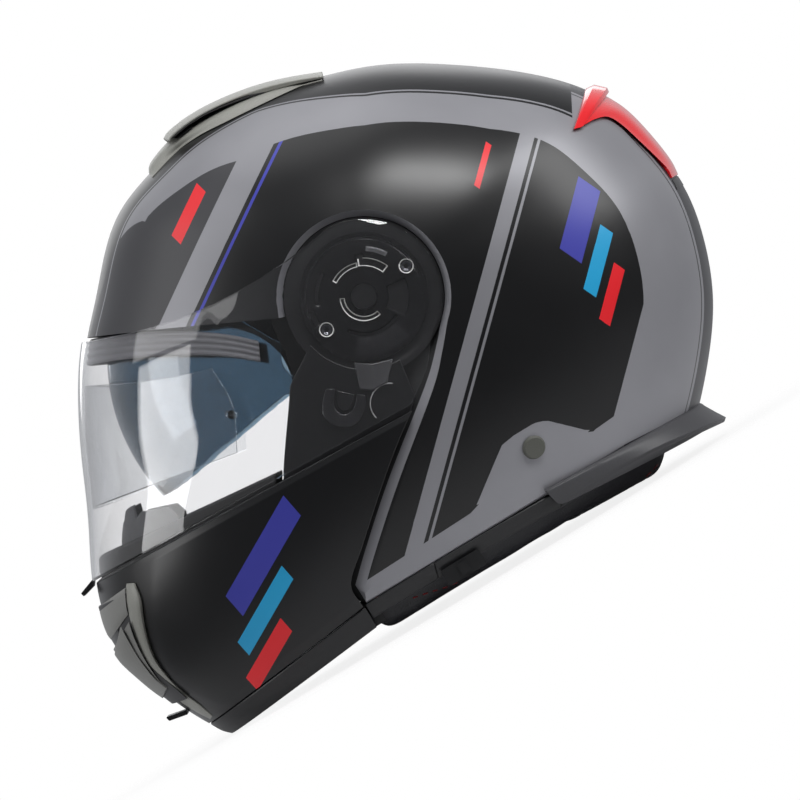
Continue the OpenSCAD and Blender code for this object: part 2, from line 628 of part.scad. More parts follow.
// ---- Chin lock ----
// Forks on the chin arms slip over the strikers when the chin bar comes down
module lock_forks() {
    color("#2e2e31") place() for (right = [false, true]) on_right(right) {
        side_plate(fork_near, fork_far) difference() {
            translate(striker) circle(r = 8, $fn = 48);
            translate(striker) circle(r = striker_r + 0.8, $fn = 48);
            translate(striker + [0, -striker_r - 0.8]) square([20, 2 * striker_r + 1.6]);
        }
        side_rod(striker + [-5.8, 0], 1.8, fork_far - 0.1, fork_far + 4);
    }
}
module lock_pawls() {
    color("#8a8a8c") place() for (right = [false, true]) on_right(right)
        side_plate(fork_near - 1, fork_far - 2.4) translate(striker + [0, -14.2]) square([6, 5]);
}
module exhaust_grille() {
    rows = [[146, 52, 19.5, 0, 0, -2, -0.9], [148, 44, 16.5, 0, 0, -2, -0.9]];
    color("#0f0f10") place() wrap(rows, shell_out, shell_out, 6, 1);
}
lens_pin_place = [-63, -56];
module lens_pins() {
    color("#c9cdd0") place() for (right = [false, true]) on_right(right)
        side_rod(lens_pin_place, 2.2, half_width(lens_pin_place, shield_in) - 2.6,
            half_width(lens_pin_place, shield_out) + 0.9);
}

outer_shell();
impact_liner();
comfort_liner();
cheek_pad_left();
cheek_pad_right();
neck_roll();
base_trim();
rear_skirt();
rear_spoiler();
top_vent_base();
top_vent_cover();
top_vent_slider();
brow_gasket();
pivot_base_left();
pivot_base_right();
pivot_pins();
pivot_washers();
side_plugs();
sun_visor();
chin_shell();
chin_arm_left();
chin_arm_right();
chin_liner();
chin_trim();
chin_gasket();
nose_deflector();
chin_vent_base();
chin_vent_cover();
chin_vent_slider();
release_lever();
cam_plate_left();
cam_plate_right();
cam_screws();
face_shield();
shield_tab();
antifog_lens();
chin_strap_left();
chin_strap_right();
strap_rivets();
buckle_body();
buckle_pin();
buckle_lever();
ratchet_strap();
visor_slider();
lock_forks();
lock_pawls();
exhaust_grille();
lens_pins();
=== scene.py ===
import json
import math
import bpy
import bmesh
import numpy as np
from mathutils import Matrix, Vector
from mathutils.bvhtree import BVHTree


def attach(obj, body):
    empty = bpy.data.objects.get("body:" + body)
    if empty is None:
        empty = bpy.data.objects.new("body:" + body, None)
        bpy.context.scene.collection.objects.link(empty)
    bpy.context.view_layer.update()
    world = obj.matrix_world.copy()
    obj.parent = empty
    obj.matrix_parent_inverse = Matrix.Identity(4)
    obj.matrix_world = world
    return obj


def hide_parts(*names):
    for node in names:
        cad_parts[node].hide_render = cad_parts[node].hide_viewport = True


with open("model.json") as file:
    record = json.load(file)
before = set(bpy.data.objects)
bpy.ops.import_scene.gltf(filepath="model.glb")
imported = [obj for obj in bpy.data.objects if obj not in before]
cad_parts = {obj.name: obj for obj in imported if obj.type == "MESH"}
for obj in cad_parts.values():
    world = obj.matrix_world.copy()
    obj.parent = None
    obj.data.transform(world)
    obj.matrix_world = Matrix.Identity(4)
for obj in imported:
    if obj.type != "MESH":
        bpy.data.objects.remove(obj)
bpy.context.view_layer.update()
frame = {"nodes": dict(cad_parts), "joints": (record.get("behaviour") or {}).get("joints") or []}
nodes = frame["nodes"]
joints = {joint["name"]: joint for joint in frame["joints"]}


# Sizes are in mm on the wearer's head: x to the rear, y to the right, z up, from the chin bar's pivots.
# It then tips by tilt degrees on to its base.
head = {"tilt": 31.2, "halfWidth": 124.0, "chinHalfWidth": 127.0, "wall": 3.5, "chinWall": 3.2,
        "fullness": 2.25, "rearFullness": 0.25, "rearRadius": 172.0, "shieldEnd": 37.0,
        # the shield's round end is slightly domed, with a shallow groove along its rim
        "domeDrop": 2.5, "rimDip": 1.5, "rimReach": 6.5}
sides = ((-1, "Left"), (1, "Right"))
# radius of the side outline every 10 degrees, from the rear over the crown
outlineRadii = np.array([
    170.3, 168.5, 165.3, 158.5, 152.5, 141.5, 130.5, 122.5, 117.5,
    114, 111.5, 111.5, 113, 115.5, 119, 122.5, 127.5, 129.5,
    132, 139, 147, 157.5, 174, 199.5, 213.5, 221, 223,
    215, 205, 195, 188, 183.5, 179, 175, 172, 170.5])
pivot = np.array(joints["chin_bar_flip"]["pos_m"]) * 1000
tiltCos, tiltSin = math.cos(math.radians(head["tilt"])), math.sin(math.radians(head["tilt"]))
shellWide, chinWide = head["halfWidth"], head["chinHalfWidth"]


def splineWeights(values):
    weights = values.copy()
    for _ in range(40):
        weights = (6 * values - np.roll(weights, 1) - np.roll(weights, -1)) / 4
    return weights


outlineWeights = splineWeights(outlineRadii)


def outlineAt(direction):
    # radius of the side outline in a direction in degrees, smooth in its curvature too
    t = np.mod(direction, 360.0) / 10
    i = np.floor(t).astype(int)
    f = t - i
    n = len(outlineWeights)
    a, b, c, d = (outlineWeights[(i + k) % n] for k in (-1, 0, 1, 2))
    return (a * (1 - f) ** 3 + b * (3 * f ** 3 - 6 * f ** 2 + 4)
            + c * (-3 * f ** 3 + 3 * f ** 2 + 3 * f + 1) + d * f ** 3) / 6


def halfWidth(x, z, width, grow=0.0, dome=False):
    # how far a layer of the surface stands from the middle plane at a side-view point
    x, z = np.asarray(x, float), np.asarray(z, float)
    r = np.hypot(x, z)
    direction = np.degrees(np.arctan2(z, x))
    power = head["fullness"] + head["rearFullness"] * np.cos(np.radians(direction))
    share = np.clip(r / (outlineAt(direction) + grow), 0, 1)
    y = width * (1 - share ** power) ** (1 / power)
    if dome:
        end = head["shieldEnd"]
        t = np.clip((r - end) / end, 0, 1)
        near = 1 - t * t * (3 - 2 * t)
        rim = head["rimDip"] * np.clip(1 - np.abs(r - end) / head["rimReach"], 0, 1) ** 2
        y = y + (width - head["domeDrop"] * (r / end) ** 2 - y) * near - rim
    return y


def toScene(points):
    p = np.asarray(points, float)
    out = np.empty_like(p)
    out[..., 0] = p[..., 0] * tiltCos + p[..., 2] * tiltSin + pivot[0]
    out[..., 1] = p[..., 1]
    out[..., 2] = -p[..., 0] * tiltSin + p[..., 2] * tiltCos + pivot[2]
    return out / 1000


def onBase(u, h):
    # side-view point at u along the ground and h over it
    z = h - pivot[2]
    return [u * tiltCos - z * tiltSin, u * tiltSin + z * tiltCos]


def rearDirection(h):
    # direction in which the outline's rear meets the height h
    return head["tilt"] + math.degrees(math.asin((h - pivot[2]) / head["rearRadius"]))


def toward(direction):
    return np.array([math.cos(math.radians(direction)), math.sin(math.radians(direction))])


def smoothRows(controls, steps, straight=False):
    # points between the controls, on a curve through them; a row of five values has no bends
    c = np.array([[*c[:3], 0, 0, *c[3:]] if len(c) == 5 else c for c in controls], float)
    ends = np.vstack([2 * c[0] - c[1], c, 2 * c[-1] - c[-2]])
    out = []
    for i in range(len(c) - 1):
        a, b, d, e = ends[i:i + 4]
        for k in range(steps):
            t = k / steps
            if straight:
                out.append(b + (d - b) * t)
            else:
                out.append(b + t * (d - a) / 2 + t * t * (a - 2.5 * b + 2 * d - e / 2)
                           + t ** 3 * (1.5 * (b - d) + (e - a) / 2))
    out.append(c[-1])
    return np.array(out)


def pathNormals(path):
    tangent = np.gradient(path, axis=0)
    return np.column_stack([-tangent[:, 1], tangent[:, 0]]) / np.linalg.norm(tangent, axis=1)[:, None]


def surfaceGrid(rows, width, grow, depth, cols, dome=False):
    # rows of [x, z, direction, bendX, bendZ] run from a side point over the middle to the other side
    rows = np.array(rows, float)
    depth = np.broadcast_to(np.asarray(depth, float), (len(rows),))[:, None]
    w, g = width - depth, grow - depth
    start = rows[:, 0:2]
    direction = rows[:, 2:3]
    top = (outlineAt(direction) + g) * np.hstack([np.cos(np.radians(direction)),
                                                  np.sin(np.radians(direction))])
    r = np.hypot(start[:, :1], start[:, 1:])
    limit = 0.97 * (outlineAt(np.degrees(np.arctan2(start[:, 1:], start[:, :1]))) + g)
    start = start * np.minimum(1, limit / r)
    t = np.linspace(0, 1, cols + 1)
    s = np.sin(t * math.pi / 2)[None, :]
    x = start[:, :1] + (top[:, :1] - start[:, :1]) * s + 4 * s * (1 - s) * rows[:, 3:4]
    z = start[:, 1:] + (top[:, 1:] - start[:, 1:]) * s + 4 * s * (1 - s) * rows[:, 4:5]
    y = -halfWidth(x, z, w, g, dome)
    y[:, -1] = 0
    half = np.stack([x, y, z], axis=-1)
    other = half[:, -2::-1] * np.array([1, -1, 1])
    return np.concatenate([half, other], axis=1)


def addObject(name, vertices, faces, materials, faceMaterials=None, sharp=32):
    mesh = bpy.data.meshes.new(name)
    mesh.from_pydata([tuple(v) for v in vertices], [], [tuple(f) for f in faces])
    for material in materials:
        mesh.materials.append(material)
    if faceMaterials is not None:
        mesh.polygons.foreach_set("material_index", np.asarray(faceMaterials, np.int32))
    piece = bpy.data.objects.new(name, mesh)
    bpy.context.scene.collection.objects.link(piece)
    bm = bmesh.new()
    bm.from_mesh(mesh)
    bmesh.ops.recalc_face_normals(bm, faces=bm.faces)
    bm.to_mesh(mesh)
    bm.free()
    mesh.polygons.foreach_set("use_smooth", np.ones(len(mesh.polygons), bool))
    mesh.set_sharp_from_angle(angle=math.radians(sharp))
    return piece


def bevelEdges(piece, width, angle=40, segments=2):
    bevel = piece.modifiers.new("edge", "BEVEL")
    bevel.width = width * 0.001
    bevel.segments = segments
    bevel.limit_method = "ANGLE"
    bevel.angle_limit = math.radians(angle)
    bevel.harden_normals = False
    return piece


def closedSheet(name, outer, inner, materials, edge=0.5, columnSlots=None):
    # solid between two grids of the same size; material 0 outside, 1 inside and on the rim
    m, n = outer.shape[:2]
    vertices = np.concatenate([toScene(outer).reshape(-1, 3), toScene(inner).reshape(-1, 3)])
    index = np.arange(m * n).reshape(m, n)
    faces, slots = [], []
    inside = 1 if len(materials) > 1 else 0
    for base, slot in ((0, 0), (m * n, inside)):
        i = index + base
        quads = np.stack([i[:-1, :-1], i[:-1, 1:], i[1:, 1:], i[1:, :-1]], axis=-1).reshape(-1, 4)
        if base:
            quads = quads[:, ::-1]
        faces.extend(quads.tolist())
        if columnSlots is not None and base == 0:
            slots.extend(list(columnSlots) * (m - 1))
        else:
            slots.extend([slot] * len(quads))
    rim = np.concatenate([index[0, :-1], index[:-1, -1], index[-1, :0:-1], index[:0:-1, 0]])
    for a, b in zip(rim, np.roll(rim, -1)):
        faces.append([a, b, b + m * n, a + m * n])
        slots.append(inside)
    piece = addObject(name, vertices, faces, materials, slots)
    if edge:
        bevelEdges(piece, edge)
    return piece


def wrapSheet(name, controls, width, grow, materials, cols=40, steps=6, straight=False, edge=0.5, dome=False,
              innerWidth=None, innerGrow=None, sideDepth=None, reach=1.0):
    # controls as in surfaceGrid, with the depths of the outer and inner face after them
    rows = smoothRows(controls, steps, straight)
    under = (width if innerWidth is None else innerWidth, grow if innerGrow is None else innerGrow)
    outer = surfaceGrid(rows, width, grow, rows[:, 5], cols, dome)
    inner = surfaceGrid(rows, *under, rows[:, 6], cols, dome)
    if sideDepth is not None:
        # towards its side ends the sheet sinks to sideDepth at the same thickness
        flat = np.maximum(rows[:, 5], sideDepth)
        share = np.clip((1 - np.abs(np.linspace(-1, 1, 2 * cols + 1))) / reach, 0, 1)
        share = (share * share * (3 - 2 * share))[None, :, None]
        lowOuter = surfaceGrid(rows, width, grow, flat, cols, dome)
        lowInner = surfaceGrid(rows, *under, flat + rows[:, 6] - rows[:, 5], cols, dome)
        outer, inner = lowOuter + (outer - lowOuter) * share, lowInner + (inner - lowInner) * share
    return closedSheet(name, outer, inner, materials, edge)


def finishPiece(piece, body, replaced=()):
    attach(piece, body)
    if replaced:
        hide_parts(*replaced)
    return piece


def linear(hexColour):
    channels = [int(hexColour[i:i + 2], 16) / 255 for i in (1, 3, 5)]
    return tuple(c / 12.92 if c <= 0.04045 else ((c + 0.055) / 1.055) ** 2.4 for c in channels) + (1.0,)


def addNode(tree, kind, settings=None, links=None):
    node = tree.nodes.new(kind)
    for key, value in (settings or {}).items():
        if isinstance(key, int) or key in node.inputs:
            node.inputs[key].default_value = value
        else:
            setattr(node, key, value)
    for key, (source, output) in (links or {}).items():
        tree.links.new(source.outputs[output], node.inputs[key])
    return node


def startMaterial(name, colour, roughness, **more):
    material = bpy.data.materials.new(name)
    material.use_nodes = True
    tree = material.node_tree
    shader = tree.nodes["Principled BSDF"]
    shader.inputs["Base Color"].default_value = linear(colour)
    shader.inputs["Roughness"].default_value = roughness
    for key, value in more.items():
        shader.inputs[key].default_value = value
    place = addNode(tree, "ShaderNodeTexCoord")
    return material, tree, shader, place


def addRelief(tree, shader, source, output, depthMm, strength=1.0):
    bump = addNode(tree, "ShaderNodeBump", {"Strength": strength, "Distance": depthMm / 1000},
                   {"Height": (source, output)})
    tree.links.new(bump.outputs["Normal"], shader.inputs["Normal"])
    return bump


def varyRoughness(tree, shader, source, low, high):
    spread = addNode(tree, "ShaderNodeMapRange", {"To Min": low, "To Max": high}, {"Value": (source, 0)})
    tree.links.new(spread.outputs["Result"], shader.inputs["Roughness"])


def varyColour(tree, shader, source, output, first, second, low=0.0, high=1.0):
    ramp = addNode(tree, "ShaderNodeValToRGB", links={"Fac": (source, output)})
    ramp.color_ramp.elements[0].position = low
    ramp.color_ramp.elements[0].color = linear(first)
    ramp.color_ramp.elements[1].position = high
    ramp.color_ramp.elements[1].color = linear(second)
    tree.links.new(ramp.outputs["Color"], shader.inputs["Base Color"])


def lacquer(name, colour, other, roughness=0.36, metallic=0.0, coat=0.0):
    # sprayed satin lacquer: a faint orange peel 1.5 mm wide breaks the highlight's edge
    material, tree, shader, place = startMaterial(name, colour, roughness, Metallic=metallic, IOR=1.5)
    shader.inputs["Coat Weight"].default_value = coat
    shader.inputs["Coat Roughness"].default_value = 0.06
    peel = addNode(tree, "ShaderNodeTexNoise", {"Scale": 1000 / 1.5, "Detail": 2.0},
                   {"Vector": (place, "Object")})
    wide = addNode(tree, "ShaderNodeTexNoise", {"Scale": 1000 / 60, "Detail": 3.0},
                   {"Vector": (place, "Object")})
    varyRoughness(tree, shader, wide, roughness - 0.04, roughness + 0.04)
    varyColour(tree, shader, wide, 0, colour, other, 0.35, 0.65)
    addRelief(tree, shader, peel, 0, 0.006)
    return material


def mouldedPlastic(name, colour, other, roughness=0.5, grain=0.6, depth=0.02):
    # injection moulded with an eroded mould: fine grain that dulls the plastic
    material, tree, shader, place = startMaterial(name, colour, roughness, IOR=1.5)
    pits = addNode(tree, "ShaderNodeTexNoise", {"Scale": 1000 / grain, "Detail": 4.0},
                   {"Vector": (place, "Object")})
    varyRoughness(tree, shader, pits, roughness - 0.07, roughness + 0.07)
    varyColour(tree, shader, pits, 0, colour, other, 0.3, 0.7)
    addRelief(tree, shader, pits, 0, depth)
    return material


def polishedPlastic(name, colour, other, roughness=0.14):
    # glossy moulding: wide soft flow marks under a clear shine
    material, tree, shader, place = startMaterial(name, colour, roughness, IOR=1.5)
    flow = addNode(tree, "ShaderNodeTexNoise", {"Scale": 1000 / 18, "Detail": 3.0},
                   {"Vector": (place, "Object")})
    varyRoughness(tree, shader, flow, roughness - 0.03, roughness + 0.05)
    varyColour(tree, shader, flow, 0, colour, other, 0.3, 0.7)
    return material


def metal(name, colour, other, roughness=0.3, lineMm=0.35):
    # turned or brushed metal: fine lines that stretch the highlight
    material, tree, shader, place = startMaterial(name, colour, roughness, Metallic=1.0)
    squeeze = addNode(tree, "ShaderNodeMapping", {"Scale": (1.0, 6.0, 1.0)}, {"Vector": (place, "Object")})
    lines = addNode(tree, "ShaderNodeTexNoise", {"Scale": 1000 / lineMm / 4, "Detail": 3.0},
                    {"Vector": (squeeze, "Vector")})
    varyRoughness(tree, shader, lines, roughness - 0.08, roughness + 0.1)
    varyColour(tree, shader, lines, 0, colour, other, 0.3, 0.7)
    addRelief(tree, shader, lines, 0, 0.004)
    return material


def clearSheet(name, tint, roughness=0.015):
    # hard-coated polycarbonate: clear, with the lamps' light let through to what lies behind
    material, tree, shader, place = startMaterial(name, tint, roughness, IOR=1.5)
    shader.inputs["Transmission Weight"].default_value = 1.0
    wear = addNode(tree, "ShaderNodeTexNoise", {"Scale": 1000 / 25, "Detail": 4.0},
                   {"Vector": (place, "Object")})
    varyRoughness(tree, shader, wear, roughness, roughness + 0.02)
    path = addNode(tree, "ShaderNodeLightPath")
    through = addNode(tree, "ShaderNodeBsdfTransparent", {"Color": linear(tint)})
    mixed = addNode(tree, "ShaderNodeMixShader", links={0: (path, "Is Shadow Ray"), 1: (shader, 0),
                                                        2: (through, 0)})
    tree.links.new(mixed.outputs[0], tree.nodes["Material Output"].inputs["Surface"])
    return material


def knitFabric(name, colour, other, threadMm=1.4, roughness=0.9):
    # warp-knit mesh lining: small rows of open loops, drawn at twice their size to show
    material, tree, shader, place = startMaterial(name, colour, roughness, IOR=1.46)
    shader.inputs["Sheen Weight"].default_value = 0.35
    shader.inputs["Sheen Roughness"].default_value = 0.4
    loops = addNode(tree, "ShaderNodeTexVoronoi", {"Scale": 1000 / threadMm, "Randomness": 0.15},
                    {"Vector": (place, "Object")})
    varyColour(tree, shader, loops, "Distance", other, colour, 0.1, 0.6)
    addRelief(tree, shader, loops, "Distance", 0.25)
    return material


def leatherette(name, colour, other):
    # coated fabric pressed with a hide grain: pebbles about 1.6 mm wide with dull creases between
    material, tree, shader, place = startMaterial(name, colour, 0.45, IOR=1.5)
    pebbles = addNode(tree, "ShaderNodeTexVoronoi", {"Scale": 1000 / 1.6, "feature": "DISTANCE_TO_EDGE"},
                      {"Vector": (place, "Object")})
    wide = addNode(tree, "ShaderNodeTexNoise", {"Scale": 1000 / 30, "Detail": 3.0},
                   {"Vector": (place, "Object")})
    varyColour(tree, shader, wide, 0, colour, other, 0.3, 0.7)
    varyRoughness(tree, shader, wide, 0.38, 0.52)
    addRelief(tree, shader, pebbles, "Distance", 0.15)
    return material


def webbing(name, colour, other, ribMm=1.6):
    # woven polyester tape: ribs across it, painted paler on their crowns as a painted highlight and darker
    # between them as painted shade
    material, tree, shader, place = startMaterial(name, colour, 0.75, IOR=1.5)
    shader.inputs["Sheen Weight"].default_value = 0.2
    ribs = addNode(tree, "ShaderNodeTexWave", {"Scale": 1000 / ribMm / math.tau,
                                               "bands_direction": "DIAGONAL",
                                              "Distortion": 0.4, "Detail": 1.0},
                                              {"Vector": (place, "Object")})
    cross = addNode(tree, "ShaderNodeTexWave", {"Scale": 1000 / ribMm / math.tau, "bands_direction": "X",
                                               "Distortion": 0.4, "Detail": 1.0},
                                               {"Vector": (place, "Object")})
    weaveAndPaintedLight = addNode(tree, "ShaderNodeMath", {"operation": "MULTIPLY"}, {0: (ribs, "Fac"), 1: (cross, "Fac")})
    # the weave's crowns get the paler colour and its hollows the darker one: painted highlight and painted
    # shade
    varyColour(tree, shader, weaveAndPaintedLight, 0, other, colour, 0.1, 0.8)
    addRelief(tree, shader, weaveAndPaintedLight, 0, 0.25)
    return material


def beadFoam(name, colour, other):
    # expanded polystyrene: fused beads 3 mm across that show as a faint network
    material, tree, shader, place = startMaterial(name, colour, 0.85, IOR=1.5)
    beads = addNode(tree, "ShaderNodeTexVoronoi", {"Scale": 1000 / 3.0, "feature": "DISTANCE_TO_EDGE"},
                    {"Vector": (place, "Object")})
    varyColour(tree, shader, beads, "Distance", other, colour, 0.0, 0.15)
    addRelief(tree, shader, beads, "Distance", 0.3)
    return material


finish = {
    "black": lacquer("satinLacquerBlack", "#0b0b0d", "#0f0f11", 0.34),
    "grey": lacquer("satinLacquerGrey", "#8b8b90", "#929297", 0.4, 0.25),
    "darkGrey": lacquer("satinLacquerDarkGrey", "#2f2f33", "#343438", 0.4),
    "blue": lacquer("satinLacquerBlue", "#3b3fa6", "#4042a8", 0.38),
    "cyan": lacquer("satinLacquerCyan", "#1d9fd4", "#22a4d8", 0.38),
    "red": lacquer("satinLacquerRed", "#e41b25", "#ea202a", 0.38),
    "chin": lacquer("satinLacquerChin", "#0c0c0e", "#0f0f12", 0.34),
    "gloss": lacquer("glossLacquerRed", "#e2141e", "#e91d26", 0.22, 0.0, 0.6),
    "inside": mouldedPlastic("mouldedAbsInside", "#1a1a1b", "#202021", 0.62, 0.8, 0.03),
    "vent": mouldedPlastic("mouldedAbsWarmGrey", "#8a8a84", "#93938d", 0.46, 0.7, 0.012),
    "ventDark": mouldedPlastic("mouldedAbsGraphite", "#2b2b2d", "#333335", 0.5, 0.7, 0.015),
    "graphite": mouldedPlastic("mouldedAbsMidGrey", "#7a7a77", "#838380", 0.44, 0.7, 0.012),
    "skirt": mouldedPlastic("mouldedAbsDarkGrey", "#38383b", "#3f3f42", 0.48, 0.7, 0.012),
    "trim": mouldedPlastic("mouldedPvcEdging", "#161618", "#1c1c1e", 0.42, 0.9, 0.02),
    "black plastic": mouldedPlastic("mouldedNylonBlack", "#0c0c0e", "#111113", 0.34, 0.6, 0.012),
    "base plate": polishedPlastic("polishedAcetalBlack", "#0b0b0c", "#101012", 0.16),
    # pale colour painted round the cam plate's cuts and on the screw heads' rims: a painted highlight on
    # their edges
    "paleEdgeHighlight": polishedPlastic("paintedHighlightPale", "#c9c9c6", "#d4d4d1", 0.34),
    # pale grey of the thin arc on the round boss's rim: a painted highlight
    "bossRimHighlightGrey": polishedPlastic("polishedAcetalMidGreyHighlight", "#8a8a8a", "#939393", 0.34),
    "stopGrey": polishedPlastic("polishedAcetalSlate", "#343436", "#3b3b3d", 0.3),
    # mid grey of a raised patch on the cam plate, painted as a highlight on it
    "podGreyHighlight": polishedPlastic("polishedAcetalGreyHighlight", "#4c4c4e", "#545456", 0.3),
    "podDark": polishedPlastic("polishedAcetalDarkGrey", "#18181a", "#1f1f21", 0.2),
    "gunmetal": metal("turnedSteelGunmetal", "#55565a", "#606166", 0.3),
    "seal": mouldedPlastic("mouldedSiliconeGrey", "#4e4e52", "#57575b", 0.55, 0.5, 0.015),
    "rubber": mouldedPlastic("mouldedEpdmRubber", "#111112", "#19191a", 0.7, 0.5, 0.02),
    "deflector": mouldedPlastic("mouldedTpeGrey", "#2c2c2f", "#353538", 0.55, 0.6, 0.015),
    "washer": polishedPlastic("polishedAcetalWhite", "#d6d6d0", "#dededa", 0.3),
    "plug": mouldedPlastic("mouldedTpePlug", "#50514b", "#585953", 0.5, 0.5, 0.015),
    "steel": metal("turnedStainlessSteel", "#b9b9bb", "#c8c8ca", 0.24),
    "darkSteel": metal("brushedStainlessSteel", "#8f8f92", "#a0a0a3", 0.34),
    "redMetal": metal("anodisedAluminiumRed", "#b0161e", "#c01c24", 0.36),
    "redTongue": mouldedPlastic("mouldedNylonDarkRed", "#7b1218", "#86161c", 0.42, 0.5, 0.01),
    "clear": clearSheet("hardCoatedPolycarbonateClear", "#fcfcfd"),
    "lens": clearSheet("castCelluloseClear", "#fafbfc"),
    "smoke": clearSheet("hardCoatedPolycarbonateBlueSmoke", "#7c93a3", 0.03),
    "foam": beadFoam("expandedPolystyreneBlack", "#27272a", "#1c1c1e"),
    "lining": knitFabric("warpKnitLiningCharcoal", "#3a3a40", "#232327"),
    "liningDark": knitFabric("warpKnitLiningBlack", "#28282c", "#161619"),
    "leather": leatherette("grainedLeatheretteBlack", "#2e2e31", "#37373b"),
    "webbing": webbing("wovenPolyesterBlack", "#2a2a2d", "#121214"),
    "thread": webbing("twistedPolyesterRed", "#a3121c", "#6d0c13", 0.5),
}
print("finishes", len(finish))

shellSizes = {"recessLip": 38.5, "recessFace": 113.0, "chamferWidth": 3.0, "chamferDepth": 2.6,
              "seamWidth": 4.8, "seamLean": -17.6, "flangeBack": (-14, -3),
              "edgeHeight": 23.0, "cols": 54, "flange": 9.0, "edgeInset": 3.4,
              # first direction and step of the lip round the recess and of the sweeps that start from it
              "lipTurn": (194, 10.6), "sweepTurn": (187.8, 7), "edgeTurn": (15, 5.4),
              # seam below the recess: side point, direction of the sweep and share of the full seam's width
              "seam": [(33.8, -26, 44, 0.2), (28.8, -43, 39, 0.6), (12, -86, 30, 1), (1.4, -118, 24, 1),
                       (-4.2, -137.4, 19.5, 1)],
              "edgeAlong": (-74.6, -50, -22, 6, 30, 52, 70)}


def shellControls():
    # each row starts with the lip: foot, chamfer foot and chamfer top, as side-view points with their depths
    rows = []
    firstLip, lipStep = shellSizes["lipTurn"]
    firstSweep, sweepStep = shellSizes["sweepTurn"]
    firstEdge, edgeStep = shellSizes["edgeTurn"]
    for k in range(21):
        u = toward(firstLip - lipStep * k)
        rows.append([*(shellSizes["recessLip"] * u), shellSizes["recessFace"], *(shellSizes["recessLip"] * u),
                     shellSizes["chamferDepth"] + 0.4,
                     *((shellSizes["recessLip"] + shellSizes["chamferWidth"]) * u),
                     firstSweep - sweepStep * k])
    for x, z, direction, share in shellSizes["seam"]:
        e = np.array([x, z], float)
        f = e + shellSizes["flangeBack"]
        flange = float(halfWidth(f[0], f[1], head["halfWidth"] - shellSizes["flange"], -shellSizes["flange"]))
        width = shellSizes["chamferWidth"] + share * (shellSizes["seamWidth"] - shellSizes["chamferWidth"])
        rows.append([*f, flange, *e, shellSizes["chamferDepth"],
                     *(e + width * toward(shellSizes["seamLean"])), direction])
    seam = smoothRows(rows, 5)
    rows = []
    h, inset = shellSizes["edgeHeight"], shellSizes["edgeInset"]
    for k, u in enumerate(shellSizes["edgeAlong"]):
        e, f = np.array(onBase(u, h)), np.array(onBase(u, h - 0.8))
        rows.append([*f, float(halfWidth(f[0], f[1], head["halfWidth"] - inset, -inset)), *f, 1.0, *e,
                     firstEdge - edgeStep * k])
    edge = smoothRows(rows, 5)
    turn = [seam[-1] + (edge[0] - seam[-1]) * t for t in (0.25, 0.5, 0.75)]
    return np.vstack([seam, turn, edge])


def makeShell():
    rows = shellControls()
    wall = head["wall"]
    zero = np.zeros(len(rows))
    sweep = np.column_stack([rows[:, 6], rows[:, 7], rows[:, 8], zero, zero])
    outer = surfaceGrid(sweep, head["halfWidth"], 0, 0, shellSizes["cols"])
    inner = surfaceGrid(sweep, head["halfWidth"] - wall, -wall, 0, shellSizes["cols"])

    def withLip(grid, inward, under):
        foot = np.stack([rows[:, 0], -(rows[:, 2] - inward), rows[:, 1]], -1)
        skin = halfWidth(rows[:, 3], rows[:, 4], head["halfWidth"])
        chamfer = np.stack([rows[:, 3], -(skin - rows[:, 5] - under), rows[:, 4]], -1)
        start = grid[:, 0].copy()
        left = np.stack([foot, chamfer, start], 1)
        right = left[:, ::-1] * np.array([1, -1, 1])
        return np.concatenate([left, grid[:, 1:-1], right], 1)

    outerGrid = withLip(outer, 0, 0)
    innerGrid = withLip(inner, wall, wall)
    columns = outerGrid.shape[1] - 1
    slots = [1, 2] + [0] * (columns - 4) + [2, 1]
    coats = [finish[k] for k in ("black", "inside", "grey")]
    return closedSheet("outerShell", outerGrid, innerGrid, coats, 0, slots)


def headPlaces(points):
    # scene points in metres back to head coordinates in mm, with y counted from the middle
    c = np.asarray(points, float).reshape(-1, 3) * 1000 - np.array([pivot[0], 0, pivot[2]])
    return c[:, 0] * tiltCos - c[:, 2] * tiltSin, np.abs(c[:, 1]), c[:, 0] * tiltSin + c[:, 2] * tiltCos


def cutAlong(bm, field, where=None, snap=0.04):
    # cuts the painted faces where the field is zero, so that the paint's edge is a crisp mesh edge
    bm.verts.ensure_lookup_table()
    places = headPlaces([v.co for v in bm.verts])
    value = field(*places)
    allowed = np.ones(len(value), bool) if where is None else where(*places)
    bm.verts.index_update()
    # a dict keeps its order, so that the cuts come out the same in every run
    touched = {}
    for edge in list(bm.edges):
        a, b = edge.verts
        if not any(face.material_index == 0 for face in edge.link_faces):
            continue
        i, j = a.index, b.index
        if i < 0 or j < 0 or not (allowed[i] and allowed[j]) or value[i] * value[j] > 0:
            continue
        share = value[i] / (value[i] - value[j]) if value[i] != value[j] else 0
        if share < snap:
            touched[a] = True
        elif share > 1 - snap:
            touched[b] = True
        else:
            made = bmesh.utils.edge_split(edge, a, share)[1]
            made.index = -1
            touched[made] = True
    bmesh.ops.connect_verts(bm, verts=list(touched))


def paint(piece, lines, coats, painter):
    # painter gives the number of a coat for each painted face from its place on the head
    bm = bmesh.new()
    bm.from_mesh(piece.data)
    for line in lines:
        cutAlong(bm, *line)
    bm.normal_update()
    places = headPlaces([face.calc_center_median() for face in bm.faces])
    chosen = painter(*places)
    first = len(piece.data.materials)
    for face, number in zip(bm.faces, chosen):
        if face.material_index == 0 and number > 0:
            face.material_index = first + int(number) - 1
    bm.to_mesh(piece.data)
    bm.free()
    for material in coats:
        piece.data.materials.append(material)
    piece.data.set_sharp_from_angle(angle=math.radians(32))


def across(x, z, direction):
    # distance along the normal of a line that leans by direction degrees from upright
    n = toward(-direction)
    return x * n[0] + z * n[1]


def over(x, z):
    # height of a side-view point over the ground
    return pivot[2] - x * tiltSin + z * tiltCos


